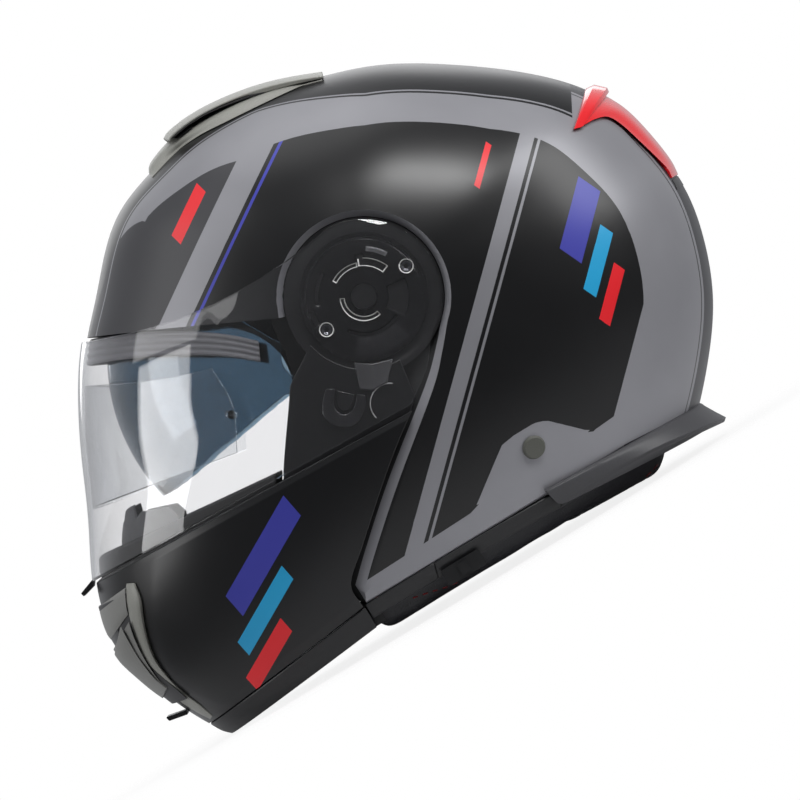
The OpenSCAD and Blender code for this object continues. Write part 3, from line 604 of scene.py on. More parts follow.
# Straight stripes lean by an angle in degrees and lie between two distances; long ones follow the crown
stripes = {
    "upperX": [-150, -128, -94, -52, 0, 60, 170], "upperY": [30, 38, 47, 52, 73, 76, 70],
    "lowerX": [-150, -131, -106, -61, 0, 60, 170], "lowerY": [8, 22, 59, 81.6, 92.5, 95, 88],
    "pinGap": 1.6, "pinWidth": 1.3, "barShear": 0.35, "barReach": 8, "barFrom": 40,
    "front": (25.2, -83.5, -70.7), "frontPin": (25.2, -68.7, -67.3),
    "slant": (15.3, 51.2, 58.4), "slantPin": (15.3, 60.2, 61.5),
    "rear": (14.9, 130.1), "rearTop": (-50, 123.3), "rearPanel": 46.0, "rearPin": (3.2, 4.4),
    "rearFrom": 100,
    # height of the grey border over the ground at places along it, with a pad round the side plug
    "borderAlong": [-75, -8, 21, 42, 60, 100], "borderHeight": [31.4, 33.4, 54.5, 54.5, 36.5, 39],
}
# Slanted bars: coat, first and last distance across them, first and last distance along them
bars = {
    "rear": (15, [("blue", 84, 96, 76, 112), ("cyan", 100, 107, 66, 98), ("red", 111, 117, 58, 86)]),
    "front": (25.2, [("red", -96.5, -90.5, -46, -18)]),
    "crown": (15.3, [("red", 36.5, 39.5, 78, 100)]),
    "chin": (30, [("blue", 14, 26, -152, -96), ("cyan", 30, 38, -163, -120), ("red", 42, 50, -172, -138)]),
}


def barPlace(x, z, lean):
    a = across(x, z, lean)
    return a, across(x, z, lean - 90) + stripes["barShear"] * a


def barLines(name):
    lean, rows = bars[name]
    lines = []
    for _, low, high, start, end in rows:
        def near(x, y, z, low=low, high=high, start=start, end=end):
            a, b = barPlace(x, z, lean)
            reach = stripes["barReach"]
            return ((a > low - reach) & (a < high + reach) & (b > start - reach) & (b < end + reach)
                    & (y > stripes["barFrom"]))
        for value in (low, high):
            lines.append((lambda x, y, z, v=value: barPlace(x, z, lean)[0] - v, near))
        for value in (start, end):
            lines.append((lambda x, y, z, v=value: barPlace(x, z, lean)[1] - v, near))
    return lines


def paintBars(number, name, x, y, z):
    lean, rows = bars[name]
    a, b = barPlace(x, z, lean)
    for coat, low, high, start, end in rows:
        within = (a > low) & (a < high) & (b > start) & (b < end)
        number[within & (y > stripes["barFrom"])] = coatNumbers[coat]


def overBorder(x, z):
    # height over the grey border's upper edge
    return over(x, z) - np.interp(x * tiltCos + z * tiltSin, stripes["borderAlong"], stripes["borderHeight"])


def upperEdge(x, y, z, offset=0.0):
    return y - np.interp(x, stripes["upperX"], stripes["upperY"]) - offset


def lowerEdge(x, y, z):
    return y - np.interp(x, stripes["lowerX"], stripes["lowerY"])


def shellLines():
    s = stripes

    def line(name, k):
        return lambda x, y, z: across(x, z, s[name][0]) - s[name][k]

    lines = [
        (upperEdge,), (lambda x, y, z: upperEdge(x, y, z, -s["pinGap"]),),
        (lambda x, y, z: upperEdge(x, y, z, -s["pinGap"] - s["pinWidth"]),), (lowerEdge,),
        (lambda x, y, z: overBorder(x, z),),
    ]
    side = lambda x, y, z: lowerEdge(x, y, z) > -4
    for name, ks in (("front", (1, 2)), ("frontPin", (1, 2)), ("slant", (1, 2)), ("slantPin", (1, 2)),
                     ("rear", (1,)), ("rearTop", (1,))):
        for k in ks:
            lines.append((line(name, k), side))
    # cuts are made only near where the edge of the paint runs
    for step in (0, *s["rearPin"]):
        lines.append((lambda x, y, z, v=s["rearPanel"] + step: y - v, lambda x, y, z: (x > 90) & (y < 60)))
    lines.append((lambda x, y, z: x - s["rearFrom"], lambda x, y, z: (x > 80) & (y < 90)))
    return lines + barLines("rear") + barLines("front") + barLines("crown")


coatNames = ["grey", "darkGrey", "blue", "cyan", "red"]
coatNumbers = {"black": 0, **{name: k + 1 for k, name in enumerate(coatNames)}}


def shellPainter(x, y, z):
    s = stripes
    number = np.zeros(len(x), int)
    up, low = upperEdge(x, y, z), lowerEdge(x, y, z)

    def between(name):
        value = across(x, z, s[name][0])
        return (value > s[name][1]) & (value < s[name][2])

    pin = (up > -s["pinGap"] - s["pinWidth"]) & (up < -s["pinGap"])
    band = (up > 0) & (low < 0)
    outside = low > 0
    frontField = outside & (across(x, z, s["front"][0]) < s["front"][1])
    rearField = across(x, z, s["rear"][0]) > s["rear"][1]
    rearField |= across(x, z, s["rearTop"][0]) > s["rearTop"][1]
    rearPanel = (x > s["rearFrom"]) & (y < s["rearPanel"])
    pinStart, pinEnd = (s["rearPanel"] + step for step in s["rearPin"])
    rearPin = (x > s["rearFrom"]) & (y > pinStart) & (y < pinEnd)
    number[frontField | rearPanel] = coatNumbers["darkGrey"]
    grey = band | pin | (outside & (between("front") | between("slant") | between("slantPin")))
    grey |= (outside & rearField) | ((x > s["rearFrom"]) & (y > s["rearPanel"]) & ~outside)
    grey |= (overBorder(x, z) < 0) & (y > s["rearPanel"])
    number[grey] = coatNumbers["grey"]
    number[outside & between("frontPin")] = coatNumbers["blue"]
    number[rearPin] = coatNumbers["black"]
    for name in ("rear", "front", "crown"):
        paintBars(number, name, x, y, z)
    return number


shell = makeShell()
paint(shell, shellLines(), [finish[k] for k in coatNames], shellPainter)
finishPiece(shell, "shell", ["outer_shell"])
print("outer shell", len(shell.data.polygons))

chinBar = {
    "controls": [[-0.3, -148, 249.8, 0, 0], [-6.2, -137, 246.4, 0, 0], [-0.5, -118, 241.8, 0, 0],
                 [10, -86, 234.2, 0, 0], [17.6, -66, 229.2, 0, 0], [23, -54, 226.5, 0, 0]],
    # the side panels stand a little proud behind a crease that runs round the front vent
    "crease": [[-99.5, -112], [-100.5, -130], [-101.5, -148], [-98.5, -166], [-94, -179], [-86, -189],
               [-64, -197.5], [-30, -205]],
    "rise": 1.1, "soft": 11.0,
}


def creaseLift(x, z):
    path = smoothRows(chinBar["crease"], 8)
    normal = pathNormals(path)
    gap = np.stack([x, z], -1)[..., None, :] - path
    nearest = np.argmin(np.sum(gap ** 2, -1), -1)
    distance = np.sum(np.take_along_axis(gap, nearest[..., None, None], -2)[..., 0, :] * normal[nearest], -1)
    share = np.clip(1 + distance / chinBar["soft"], 0, 1)
    return chinBar["rise"] * share ** 2


def makeChin():
    rows = smoothRows(chinBar["controls"], 16)
    width, wall = head["chinHalfWidth"], head["chinWall"]
    outer = surfaceGrid(rows, width, 0, 0, 60)
    inner = surfaceGrid(rows, width - wall, -wall, 0, 60)
    lift = creaseLift(outer[..., 0], outer[..., 2])
    edge = np.clip(np.minimum(np.arange(len(rows)), np.arange(len(rows))[::-1]) / 6.0, 0, 1)[:, None]
    outer[..., 1] += np.sign(outer[..., 1]) * lift * edge
    return closedSheet("chinShell", outer, inner, [finish["chin"], finish["inside"]], 0.8)


def chinPainter(x, y, z):
    number = np.zeros(len(x), int)
    paintBars(number, "chin", x, y, z)
    return number


chin = makeChin()
paint(chin, barLines("chin"), [finish[k] for k in coatNames], chinPainter)
finishPiece(chin, "chin_bar", ["chin_shell"])


def polarPlate(side, centre, near, radii, heights, coats, lobes=None):
    # round plate with its face at a height for each cell of a polar grid; coats are slots of each cell
    radii, turns = np.asarray(radii, float), heights.shape[1]
    angle = np.radians(np.arange(turns) * 360.0 / turns)
    # each point takes the lowest of the cells that meet in it, so that cuts keep their full width
    corner = np.minimum(np.minimum(np.vstack([heights, heights[-1:]]), np.vstack([heights[:1], heights])),
                        np.minimum(np.roll(np.vstack([heights, heights[-1:]]), 1, 1),
                                   np.roll(np.vstack([heights[:1], heights]), 1, 1)))
    r = radii[:, None] + (0 if lobes is None else lobes[:, None] * np.cos(6 * angle)[None, :])
    x, z = centre[0] + r * np.cos(angle), centre[1] + r * np.sin(angle)
    top = np.dstack([x, side * corner, z]).reshape(-1, 3)
    n = len(radii)
    index = np.arange(n * turns).reshape(n, turns)
    after = np.roll(index, -1, 1)
    faces = np.stack([index[:-1], after[:-1], after[1:], index[1:]], -1).reshape(-1, 4).tolist()
    slots = coats.reshape(-1).tolist()
    base = len(top)
    under = []
    for ring in (0, n - 1):
        under.append(np.column_stack([x[ring], np.full(turns, side * near), z[ring]]))
    vertices = np.vstack([top] + under)
    for k in range(turns):
        j = (k + 1) % turns
        faces.append([index[-1, k], index[-1, j], base + turns + j, base + turns + k])
        faces.append([index[0, j], index[0, k], base + k, base + j])
        faces.append([base + k, base + turns + k, base + turns + j, base + j])
        slots += [int(coats[-1, k]), int(coats[0, k]), 0]
    return vertices, faces, slots


chinArm = {"behind": head["chinWall"] + 0.4, "wall": 1.6, "discEdge": 34.0, "disc": 38.0, "bore": 6.1,
           "near": 119.2, "far": 121.6,
           "foot": [[24.6, -48], [11, -82], [1, -106], [-10, -112], [-24, -112], [-38, -98], [-35, -42]]}


def makeChinArm(side, word):
    # flat disc on the pivot, carried on in a web that lies behind the chin bar's skin
    behind, wall = chinArm["behind"], chinArm["wall"]
    near = smoothRows([chinArm["discEdge"] * toward(-60 - 13 * k) for k in range(7)], 5)
    far = smoothRows(chinArm["foot"], 5)
    share = np.linspace(0, 1, 15)[None, :, None]
    grid = near[:, None] + (far - near)[:, None] * share
    x, z = grid[..., 0], grid[..., 1]
    outer, inner = (np.dstack([x, side * halfWidth(x, z, head["chinHalfWidth"] - depth, -depth), z])
                    for depth in (behind, behind + wall))
    web = closedSheet("chinArmWeb" + word, outer, inner, [finish["black plastic"]], 0.4)
    radii = [chinArm["bore"], 8.0, 8.6, 33.2, 33.8, 37.4, chinArm["disc"]]
    lift = np.array([0, -0.3, 0, -0.5, 0, -0.3])[:, None] + np.full((6, 120), chinArm["far"])
    vertices, faces, slots = polarPlate(side, (0, 0), chinArm["near"], radii, lift, np.zeros((6, 120), int))
    disc = addObject("chinArmDisc" + word, toScene(vertices), faces, [finish["black plastic"]], slots)
    finishPiece(web, "chin_bar")
    finishPiece(disc, "chin_bar", ["chin_arm_" + word.lower()])


# cam plates and their screws, seen through the shield's clear ends
camPlate = {
    "near": 121.6, "top": 123.7, "inner": 6.3, "outer": 30.6, "centre": (0, 0), "coat": "base plate",
    "chamfer": 0.5, "rings": (13.0, 26.0),
    # stepped rings of the moulding: inner and outer radius and rise
    "steps": [(26.0, 30.6, -0.5), (6.8, 9.0, 0.3)],
    # inner and outer radius, first and last direction, depth, coat inside and width of the pale ring painted
    # round it as a highlight on its edge
    "cuts": [(9.6, 11.0, 186, 312, 1.2, "black plastic", 0.5),
             (14.8, 16.2, 104, 152, 1.2, "black plastic", 0.4),
             (15.0, 18.2, 54, 98, 1.5, "black plastic", 0.4), (18.2, 20.2, 92, 102, 1.5, "black plastic", 0),
             (17.2, 18.6, 246, 330, 1.2, "black plastic", 0), (11.8, 21.2, 336, 384, 1.6, "black plastic", 0),
             # the next line's first cut is a patch raised by 0.6 mm, its mid grey a painted highlight
             (21.6, 24.0, 62, 88, -0.6, "podGreyHighlight", 0), (21.6, 23.2, 150, 190, 0.6, "black plastic", 0),
             (24.4, 27.0, 196, 212, 0.7, "black plastic", 0), (19.4, 28.4, 262, 320, -0.35, "podDark", 0),
             (27.6, 28.4, 20, 200, 0.6, "black plastic", 0)],
}
screwHead = {"near": 123.6, "top": 124.9, "outer": 3.5, "lobe": 0.22,
             "places": [(20.0, 14.6), (-17.7, -15.6)]}


def makeCamPlate(side, word):
    c = camPlate
    borders = {c["inner"], c["inner"] + c["chamfer"], c["outer"], c["outer"] - c["chamfer"], *c["rings"]}
    for r0, r1, a0, a1, deep, coat, rim in c["cuts"]:
        borders |= {r0, r1, r0 - rim, r1 + rim}
    radii = np.array(sorted(round(b, 2) for b in borders))
    turns = 180
    height = np.full((len(radii) - 1, turns), c["top"])
    names = [c["coat"], "black plastic", "podGreyHighlight", "podDark", "paleEdgeHighlight"]
    coats = np.zeros(height.shape, int)
    mid = (radii[:-1] + radii[1:])[:, None] / 2
    angle = (np.arange(turns) + 0.5)[None, :] * 360 / turns
    for low, high, rise in c["steps"]:
        height[np.repeat((mid > low) & (mid < high), turns, 1)] += rise
    for r0, r1, a0, a1, deep, coat, rim in c["cuts"]:
        turned = (angle - a0) % 360
        inside = (mid > r0) & (mid < r1) & (turned < a1 - a0)
        # the pale ring round the cut is a painted highlight on its edge
        if rim:
            around = (mid > r0 - rim) & (mid < r1 + rim) & ((turned < a1 - a0 + 2) | (turned > 358)) & ~inside
            coats[around] = names.index("paleEdgeHighlight")
        height[inside] -= deep
        coats[inside] = names.index(coat)
    vertices, faces, slots = polarPlate(side, c["centre"], c["near"], radii, height, coats)
    piece = addObject("camPlate" + word, toScene(vertices), faces, [finish[k] for k in names], slots)
    finishPiece(piece, "chin_bar", ["cam_plate_" + word.lower()])


def makeScrews():
    s = screwHead
    radii = [0.01, 1.15, 1.35, 2.3, 2.45, 2.75, 2.95, 3.35, s["outer"]]
    lift = [-1.0, -0.5, 0, -0.1, -0.8, -0.8, 0.05, -0.15]
    # the outer two rings of each head are pale: a painted highlight on its rim
    coat = [1, 1, 2, 2, 1, 1, 0, 0]
    lobes = np.array([0, 1, 1, 0, 0, 0, 0, 0, 0]) * s["lobe"]
    for side, word in sides:
        for k, place in enumerate(s["places"]):
            heights = np.repeat(np.array(lift)[:, None] + s["top"], 48, 1)
            coats = np.repeat(np.array(coat)[:, None], 48, 1)
            vertices, faces, slots = polarPlate(side, place, s["near"], radii, heights, coats, lobes)
            piece = addObject("camScrew%s%d" % (word, k + 1), toScene(vertices), faces,
                              [finish["paleEdgeHighlight"], finish["black plastic"], finish["gunmetal"]], slots)
            finishPiece(piece, "chin_bar", ["cam_screws"] if side < 0 and k == 0 else [])


def plate(name, side, outline, near, far, material, edge=0.3):
    # flat moulded plate with the given outline, between two distances from the middle plane
    n = len(outline)
    vertices = [[q[0], side * near, q[1]] for q in outline] + [[q[0], side * far, q[1]] for q in outline]
    faces = [list(range(n)), list(range(n, 2 * n))[::-1]]
    faces += [[i, (i + 1) % n, n + (i + 1) % n, n + i] for i in range(n)]
    piece = addObject(name, toScene(np.array(vertices, float)), faces, [material])
    if edge:
        bevelEdges(piece, edge)
    return piece


def arcBand(centre, radius, width, first, last, steps=24):
    # outline of a band along an arc, with square ends
    turn = np.linspace(first, last, steps)
    outer = [centre + (radius + width / 2) * toward(a) for a in turn]
    inner = [centre + (radius - width / 2) * toward(a) for a in turn[::-1]]
    return [*outer, *inner]


# plates below the cam plate: outline or curve, near and far face and the bevel of its edge
pod = {
    "stop": ([(-4.6, -30.9), (4, -31.6), (13.6, -29.2), (11.2, -40.6), (4, -44.4), (-1.8, -43.8)], 121.3,
             122.9, 0.5),
    "lock": ([[-18, -43.5], [-19.4, -49], [-19.6, -55.5], [-16, -60], [-11.5, -61.6], [-6, -61.6],
              [-1.5, -58], [0.6, -52], [0.8, -46.5]], 120.4, 122.6, 0.5),
    "lockInside": [[-3.4, -46], [-4.4, -52], [-7.6, -55.4], [-11.4, -55.2], [-14, -51.5], [-13.8, -43.5]],
    "cap": ([[-12.8, -44.4], [-12.9, -51], [-10.8, -54], [-8.2, -54.2], [-5.4, -51.6], [-4.5, -46.2]], 120.4,
            121.8, 0.4),
    # the round boss shows only as a thin pale grey arc over its upper and front rim: a painted highlight
    "boss": ((12.6, -50.6), 9.6, 0.5, 84, 226, 120.4, 122.0, 0.15),
}


def makePodPieces(side, word):
    # stop tab under the cam plate, lock housing, and a thin pale grey arc over the upper and front rim of the
    # round boss behind it: a painted highlight
    outline, near, far, edge = pod["stop"]
    tab = plate("shieldStop" + word, side, outline, near, far, finish["stopGrey"], edge)
    outline, near, far, edge = pod["lock"]
    curve = [*smoothRows(outline, 4), *smoothRows(pod["lockInside"], 4)]
    lock = plate("lockHousing" + word, side, curve, near, far, finish["podDark"], edge)
    outline, near, far, edge = pod["cap"]
    cap = plate("lockCap" + word, side, smoothRows(outline, 4), near, far, finish["black plastic"], edge)
    centre, radius, width, first, last, near, far, edge = pod["boss"]
    band = arcBand(np.array(centre), radius, width, first, last)
    boss = plate("roundBossRimHighlight" + word, side, band, near, far, finish["bossRimHighlightGrey"], edge)
    for piece in (tab, lock, cap, boss):
        finishPiece(piece, "chin_bar")


for side, word in sides:
    makeChinArm(side, word)
    makeCamPlate(side, word)
    makePodPieces(side, word)
makeScrews()

# chin padding, edge strip and gasket
chinParts = {
    "padding": [[-14, -136, 248.5, 0, 0], [-16, -118, 241, 0, 0], [-34, -106, 230, 0, 0]],
    "paddingOuter": (121.6, -5.4), "paddingInner": (106, -21),
    "edge": [[*onBase(-76.4, 9.8), 253, 0.6, 6], [*onBase(-76.4, 15), 251.6, -0.3, 4.8],
             [*onBase(-76.4, 20.8), 250.0, 0, 3.4]],
    "gasket": [[-42, -93, 227.2, 3.9, 8], [-42, -88.4, 225.6, 3.2, 7.6], [-42, -84, 224.2, 3.2, 7]],
}
chinPadding = wrapSheet("chinPadding", chinParts["padding"], *chinParts["paddingOuter"], [finish["foam"]], 40,
                        10, innerWidth=chinParts["paddingInner"][0], innerGrow=chinParts["paddingInner"][1],
                        edge=3)
finishPiece(chinPadding, "chin_bar", ["chin_liner"])
chinEdge = wrapSheet("chinEdgeStrip", chinParts["edge"], chinWide, 0, [finish["trim"]], 44, 5, edge=0.5)
finishPiece(chinEdge, "chin_bar", ["chin_trim"])
chinGasket = wrapSheet("chinGasket", chinParts["gasket"], chinWide, 0, [finish["rubber"]], 40, 4, edge=0.7)
finishPiece(chinGasket, "chin_bar", ["chin_gasket"])
print("chin bar")

# face shield
shieldSizes = {"inner": 127.3, "grow": 0.3, "wall": 2.2, "lensDepth": (0.9, 1.8),
               "lens": [[-60, -74, 217.5, 0, 0], [-62, -52, 207, 0, 0], [-72, -34, 197, 0, -2]]}
shieldRows = [[22.5, -51, 226, 0, 0], [30, -33, 224.6, 0, 0]]
shieldRows += [[*(head["shieldEnd"] * toward(-30 + 14.8 * k)), 222 - 3.34 * k,
                0.04 * k * k, -0.1 * k * k, 0, 0] for k in range(11)]
shield = wrapSheet("faceShield", shieldRows, shieldSizes["inner"] + shieldSizes["wall"],
                   shieldSizes["grow"] + shieldSizes["wall"], [finish["clear"]], 56, 6, dome=True,
                   innerWidth=shieldSizes["inner"], innerGrow=shieldSizes["grow"], edge=0.5)
finishPiece(shield, "shield", ["face_shield"])
lensRows = [[*row, *shieldSizes["lensDepth"]] for row in shieldSizes["lens"]]
lens = wrapSheet("antifogLens", lensRows, shieldSizes["inner"], shieldSizes["grow"], [finish["lens"]], 44, 10,
                 edge=0.2)
finishPiece(lens, "shield", ["antifog_lens"])

# sun visor
sunVisor = {"pivot": (-29, -28), "radius": 97.0, "halfWidth": 102.0, "wall": 1.8, "fullness": 2.4,
            "columns": 61, "rows": 25, "crowding": 1.6, "lean": 86, "search": (150, 262, 0.5),
            "outline": [[-140, 4], [-100, -1], [-62, -8], [-22, -8], [-16, -28], [-22, -46], [-37, -46],
                        [-92, -93], [-103, -99], [-112, -90], [-140, -60]]}


def makeSunVisor():
    # part of a body of revolution about the visor's own axle, cut like the lens: an upper edge, a long lower
    # edge and a nose notch in the middle
    s = sunVisor
    t = np.linspace(-1, 1, s["columns"])
    lean = np.sign(t) * (1 - (1 - np.abs(t)) ** s["crowding"]) * s["lean"]
    a = np.radians(np.abs(lean))
    p = 2 / s["fullness"]

    def ring(grow):
        return (s["radius"] + grow) * np.cos(a) ** p, (s["halfWidth"] + grow) * np.sin(a) ** p * np.sign(lean)

    def edges(r):
        # top and bottom angles of the lens at the distance r from its axle
        polygon = np.array(s["outline"]) - np.array(s["pivot"])
        angles = np.radians(np.arange(*s["search"]))
        inside = [pointInside(polygon, r * np.cos(q), r * np.sin(q)) for q in angles]
        kept = angles[np.array(inside)]
        return (kept.min(), kept.max()) if len(kept) > 1 else None

    outerR, outerY = ring(0)
    innerR, innerY = ring(-s["wall"])
    spans = [edges(r) for r in outerR]
    keep = [i for i, span in enumerate(spans) if span]
    low = np.array([spans[i][0] for i in keep])
    high = np.array([spans[i][1] for i in keep])
    share = np.linspace(0, 1, s["rows"])
    q = low[:, None] + (high - low)[:, None] * share

    def grid(r, y):
        return np.dstack([s["pivot"][0] + r[keep][:, None] * np.cos(q),
                          np.repeat(y[keep][:, None], s["rows"], 1),
                          s["pivot"][1] + r[keep][:, None] * np.sin(q)])

    return closedSheet("sunVisor", grid(outerR, outerY), grid(innerR, innerY), [finish["smoke"]], 0.3)


def pointInside(polygon, x, y):
    inside = False
    for (ax, ay), (bx, by) in zip(polygon, np.roll(polygon, -1, 0)):
        if (ay > y) != (by > y) and x < (bx - ax) * (y - ay) / (by - ay) + ax:
            inside = not inside
    return inside


visor = makeSunVisor()
finishPiece(visor, "sun_visor")
nodes["sun_visor"].data.materials.clear()
nodes["sun_visor"].data.materials.append(finish["smoke"])
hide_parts("sun_visor")
print("shield and sun visor")

# vents, spoiler and skirt
def layerPiece(name, body, slot, replaced, controls, width, material, cols=30, steps=8, edge=0.5,
               straight=False, **more):
    piece = wrapSheet(name, controls, width, 0, [material], cols, steps, straight, edge, **more)
    return finishPiece(piece, body, replaced)


# each row: side point, direction of its middle, two bends if it has any, and the depths of its outer and
# inner face, which are below 0 where they stand over the shell
topVent = {
    "body": [[-105.4, 60.4, 149.6, -0.4, 0.3], [-103.6, 62.6, 148, -2.8, 0], [-99.4, 67.2, 145.5, -3.8, -0.5],
             [-92.8, 71.6, 141, -4.3, -0.9], [-80, 79.6, 133, -3.9, -0.9], [-64.8, 87, 124, -3.2, -0.9],
             [-42.3, 98, 112, -2.2, -0.9], [-21, 108.4, 101, -1.3, -0.5]],
    "intake": [[-93, 78.6, 140, -6.85, -6.3], [-81, 89.4, 132.5, -6.85, -6.3], [-61.6, 98, 121, -4.8, -3.8],
               [-50, 102.4, 115, -3.4, -2.4]],
    "fin": [[-96.2, 77.4, 141.4, -7.0, -6.2], [-93.3, 80.6, 139, -8.1, -6.9], [-80.8, 91, 131, -7.9, -6.9],
            [-60.4, 100.6, 120, -6.0, -4.9], [-49, 103.8, 114.4, -5.0, -2.5], [-34.8, 106.8, 108, -3.7, -1.6],
            [-20.6, 109.2, 100.6, -2.2, -0.9]],
    "shutter": [[-93, 79.6, 140.5, -5.0, -4.65], [-89, 83, 137.5, -5.0, -4.65],
                [-86, 86, 135, -5.0, -4.65]],
}
layerPiece("topVentBody", "shell", "grey_plastic", ["top_vent_cover"], topVent["body"], shellWide,
           finish["vent"], 40, 8, 0.3, sideDepth=-0.5, reach=0.45)
layerPiece("topVentIntake", "shell", "black_plastic", ["top_vent_base"], topVent["intake"], shellWide,
           finish["ventDark"], 24, 8, 0.3)
layerPiece("topVentFin", "shell", "grey_plastic", [], topVent["fin"], shellWide, finish["vent"], 24, 8, 0.4)
layerPiece("topVentShutter", "top_vent_slider", "black_plastic", ["top_vent_slider"],
           topVent["shutter"], shellWide, finish["black plastic"], 16, 4, 0.1)

chinVent = {
    "base": [[-86, -194, 244.5, -1.8, -0.8], [-108, -172, 237, -1.8, -0.8], [-115, -142, 229, -1.8, -0.8]],
    "lower": [[-93.5, -191, 243.3, -1.6, -1.3], [-99.5, -185.6, 241.6, -2.1, -1.3],
              [-106, -176, 239, -2.9, -2.3], [-111, -165.5, 236.4, -3.7, -3.1],
              [-113.6, -157.5, 234.6, -3.9, -3.3], [-114, -156.4, 234.3, -3.9, -3.3]],
    "crest": [[-96.5, -190, 243.1, -2.6, -1.4], [-102.5, -183.8, 241.3, -3.2, -1.9],
              [-109.4, -174.4, 238.7, -3.9, -2.6], [-115, -164.4, 236.2, -4.9, -4.0],
              [-118, -158.6, 234.8, -4.9, -4.2]],
    "upper": [[-114.2, -152.6, 233.2, -2.3, -1.8], [-115, -149, 232.2, -2.7, -1.8],
              [-115.6, -142, 229.8, -1.9, -1.0], [-115.4, -139.6, 229.1, -1.2, -0.8]],
    "fin": [[-112.7, -137.4], [-111.8, -145.8], [-110.4, -154.7], [-107.9, -165.6], [-104, -175.5],
            [-98.3, -183.8], [-90.5, -191.9], [-81.7, -198.4], [-74.6, -203.4]],
    "finWidth": [4.4, 8.6, 7.8, 6.8, 6.2, 6, 5.6, 5, 2.4],
    "finRise": [2.2, 4.2, 4.6, 4.6, 4.4, 4, 3.4, 2.4, 1],
    "shutter": [[-119, -163, 235.6, -2.1, -1.85], [-121, -157, 233.2, -2.1, -1.85]],
}
layerPiece("chinVentBase", "chin_bar", "black_plastic", ["chin_vent_base"], chinVent["base"], chinWide,
           finish["ventDark"])
layerPiece("chinVentLower", "chin_bar", "grey_plastic", ["chin_vent_cover"], chinVent["lower"], chinWide,
           finish["graphite"], edge=0.5)
layerPiece("chinVentCrest", "chin_bar", "grey_plastic", [], chinVent["crest"], chinWide, finish["graphite"],
           edge=0.4)
layerPiece("chinVentUpper", "chin_bar", "grey_plastic", [], chinVent["upper"], chinWide, finish["graphite"],
           edge=0.4)
layerPiece("chinVentShutter", "chin_vent_slider", "black_plastic", ["chin_vent_slider"],
           chinVent["shutter"], chinWide, finish["black plastic"], 16, 3, 0.1)


def ridge(name, path, widths, rises, layerWidth, side, material, sink=0.6, steps=8):
    # moulded rib that follows a path on one side of the surface, rounded over its top
    data = smoothRows(np.column_stack([path, widths, rises]), steps)
    centre, w, rise = data[:, :2], data[:, 2], data[:, 3]
    normal = pathNormals(centre)
    t = np.linspace(-1, 1, 9)
    q = centre[:, None] + normal[:, None] * (t[None, :, None] * w[:, None, None] / 2)
    lift = rise[:, None] * (1 - np.abs(t[None, :]) ** 3) ** 0.6
    surface = halfWidth(q[..., 0], q[..., 1], layerWidth)
    outer = np.dstack([q[..., 0], side * (surface + lift), q[..., 1]])
    inner = np.dstack([q[..., 0], side * (surface - sink), q[..., 1]])
    return closedSheet(name, outer, inner, [material], 0)


for side, word in sides:
    rib = ridge("chinVentFin" + word, chinVent["fin"], chinVent["finWidth"], chinVent["finRise"], chinWide,
                side, finish["vent"])
    finishPiece(rib, "chin_bar")

rearSpoiler = {
    "body": [[103.4, 81.4, 42.2, -1.4, 0.6], [106.4, 83.6, 40.8, -1.9, -0.3], [111.4, 86.4, 38.8, -2.4, -0.5],
             [117.6, 87.8, 36.4, -3.0, -0.7], [124.4, 84.2, 33.4, -3.2, -0.7],
             [134.4, 75.2, 29.2, -3.0, -0.7], [144.8, 65.4, 24.6, -2.2, -0.5],
             [150.8, 59.4, 21.8, -0.8, 0.2]],
    "fin": [[100.4, 80.8, 43.7, -0.8, 0.6], [101.2, 81.2, 43.2, -4.2, -0.4], [104.0, 82.0, 41.2, -6.0, -1.4],
            [105.2, 82.6, 40.4, -4.6, -1.6]],
}
rearSkirt = {"rows": [[*onBase(26, 24.6), -17.1, -1.2, 0.6], [*onBase(26.4, 23.4), -17.3, -2.8, -0.6],
                      [*onBase(27, 20), -17.7, -8.6, -3.4], [*onBase(28, 16.2), -18.0, -14.2, -9.4],
                      [*onBase(28.6, 15.2), -18.7, -14.0, -10.6], [*onBase(30, 14.4), -20.8, -6.4, -3.8],
                      [*onBase(31.5, 13.8), -22.2, -2.4, -0.2]]}
layerPiece("rearSpoiler", "shell", "red_lacquer", ["rear_spoiler"], rearSpoiler["body"], shellWide,
           finish["gloss"], 40, 8, 0.6, sideDepth=-1.6, reach=0.5)
layerPiece("rearSpoilerFin", "shell", "red_lacquer", [], rearSpoiler["fin"], shellWide, finish["gloss"], 40,
           5, 0.5, True, sideDepth=-1.9, reach=0.9)
layerPiece("rearSkirt", "shell", "grey_plastic", ["rear_skirt"], rearSkirt["rows"], shellWide + 1,
           finish["skirt"], 44, 3, 0.5, True, sideDepth=-3.2, reach=1.0)
# the brow's seal has ribs that press on the shield
browRibs = [[-49 - 0.12 * k, -31 + 1.25 * k, 193.4 - 0.65 * k, 6, 4, 1.2 if k % 2 else 2.0, 3.6]
            for k in range(9)]
layerPiece("browGasket", "shell", "black_rubber", ["brow_gasket"], browRibs, shellWide, finish["seal"], 44, 3,
           0.4)

# lift of the nose deflector's upper edge at shares of the way from the middle to its side ends
deflector = {"rows": [[-92, -127, 227, 19, 21], [-89, -112, 224.6, 19, 21], [-89, -102.4, 222.6, 20, 22]],
             "shares": [0, 0.16, 0.22, 0.42, 0.48, 0.54, 0.9, 1], "lift": [0, 0, 5.5, 7, 0.5, 3, 3, -2]}


def makeDeflector():
    rows = smoothRows(deflector["rows"], 8)
    share = np.abs(np.linspace(-1, 1, 121))
    lift = np.interp(share, deflector["shares"], deflector["lift"])
    rise = np.linspace(0, 1, len(rows))[:, None] ** 2 * lift[None, :]
    grids = [surfaceGrid(rows, chinWide, 0, rows[:, k], 60) for k in (5, 6)]
    for grid in grids:
        grid[..., 2] += rise
    piece = closedSheet("noseDeflector", grids[0], grids[1], [finish["deflector"]], 0.6)
    finishPiece(piece, "chin_bar", ["nose_deflector"])


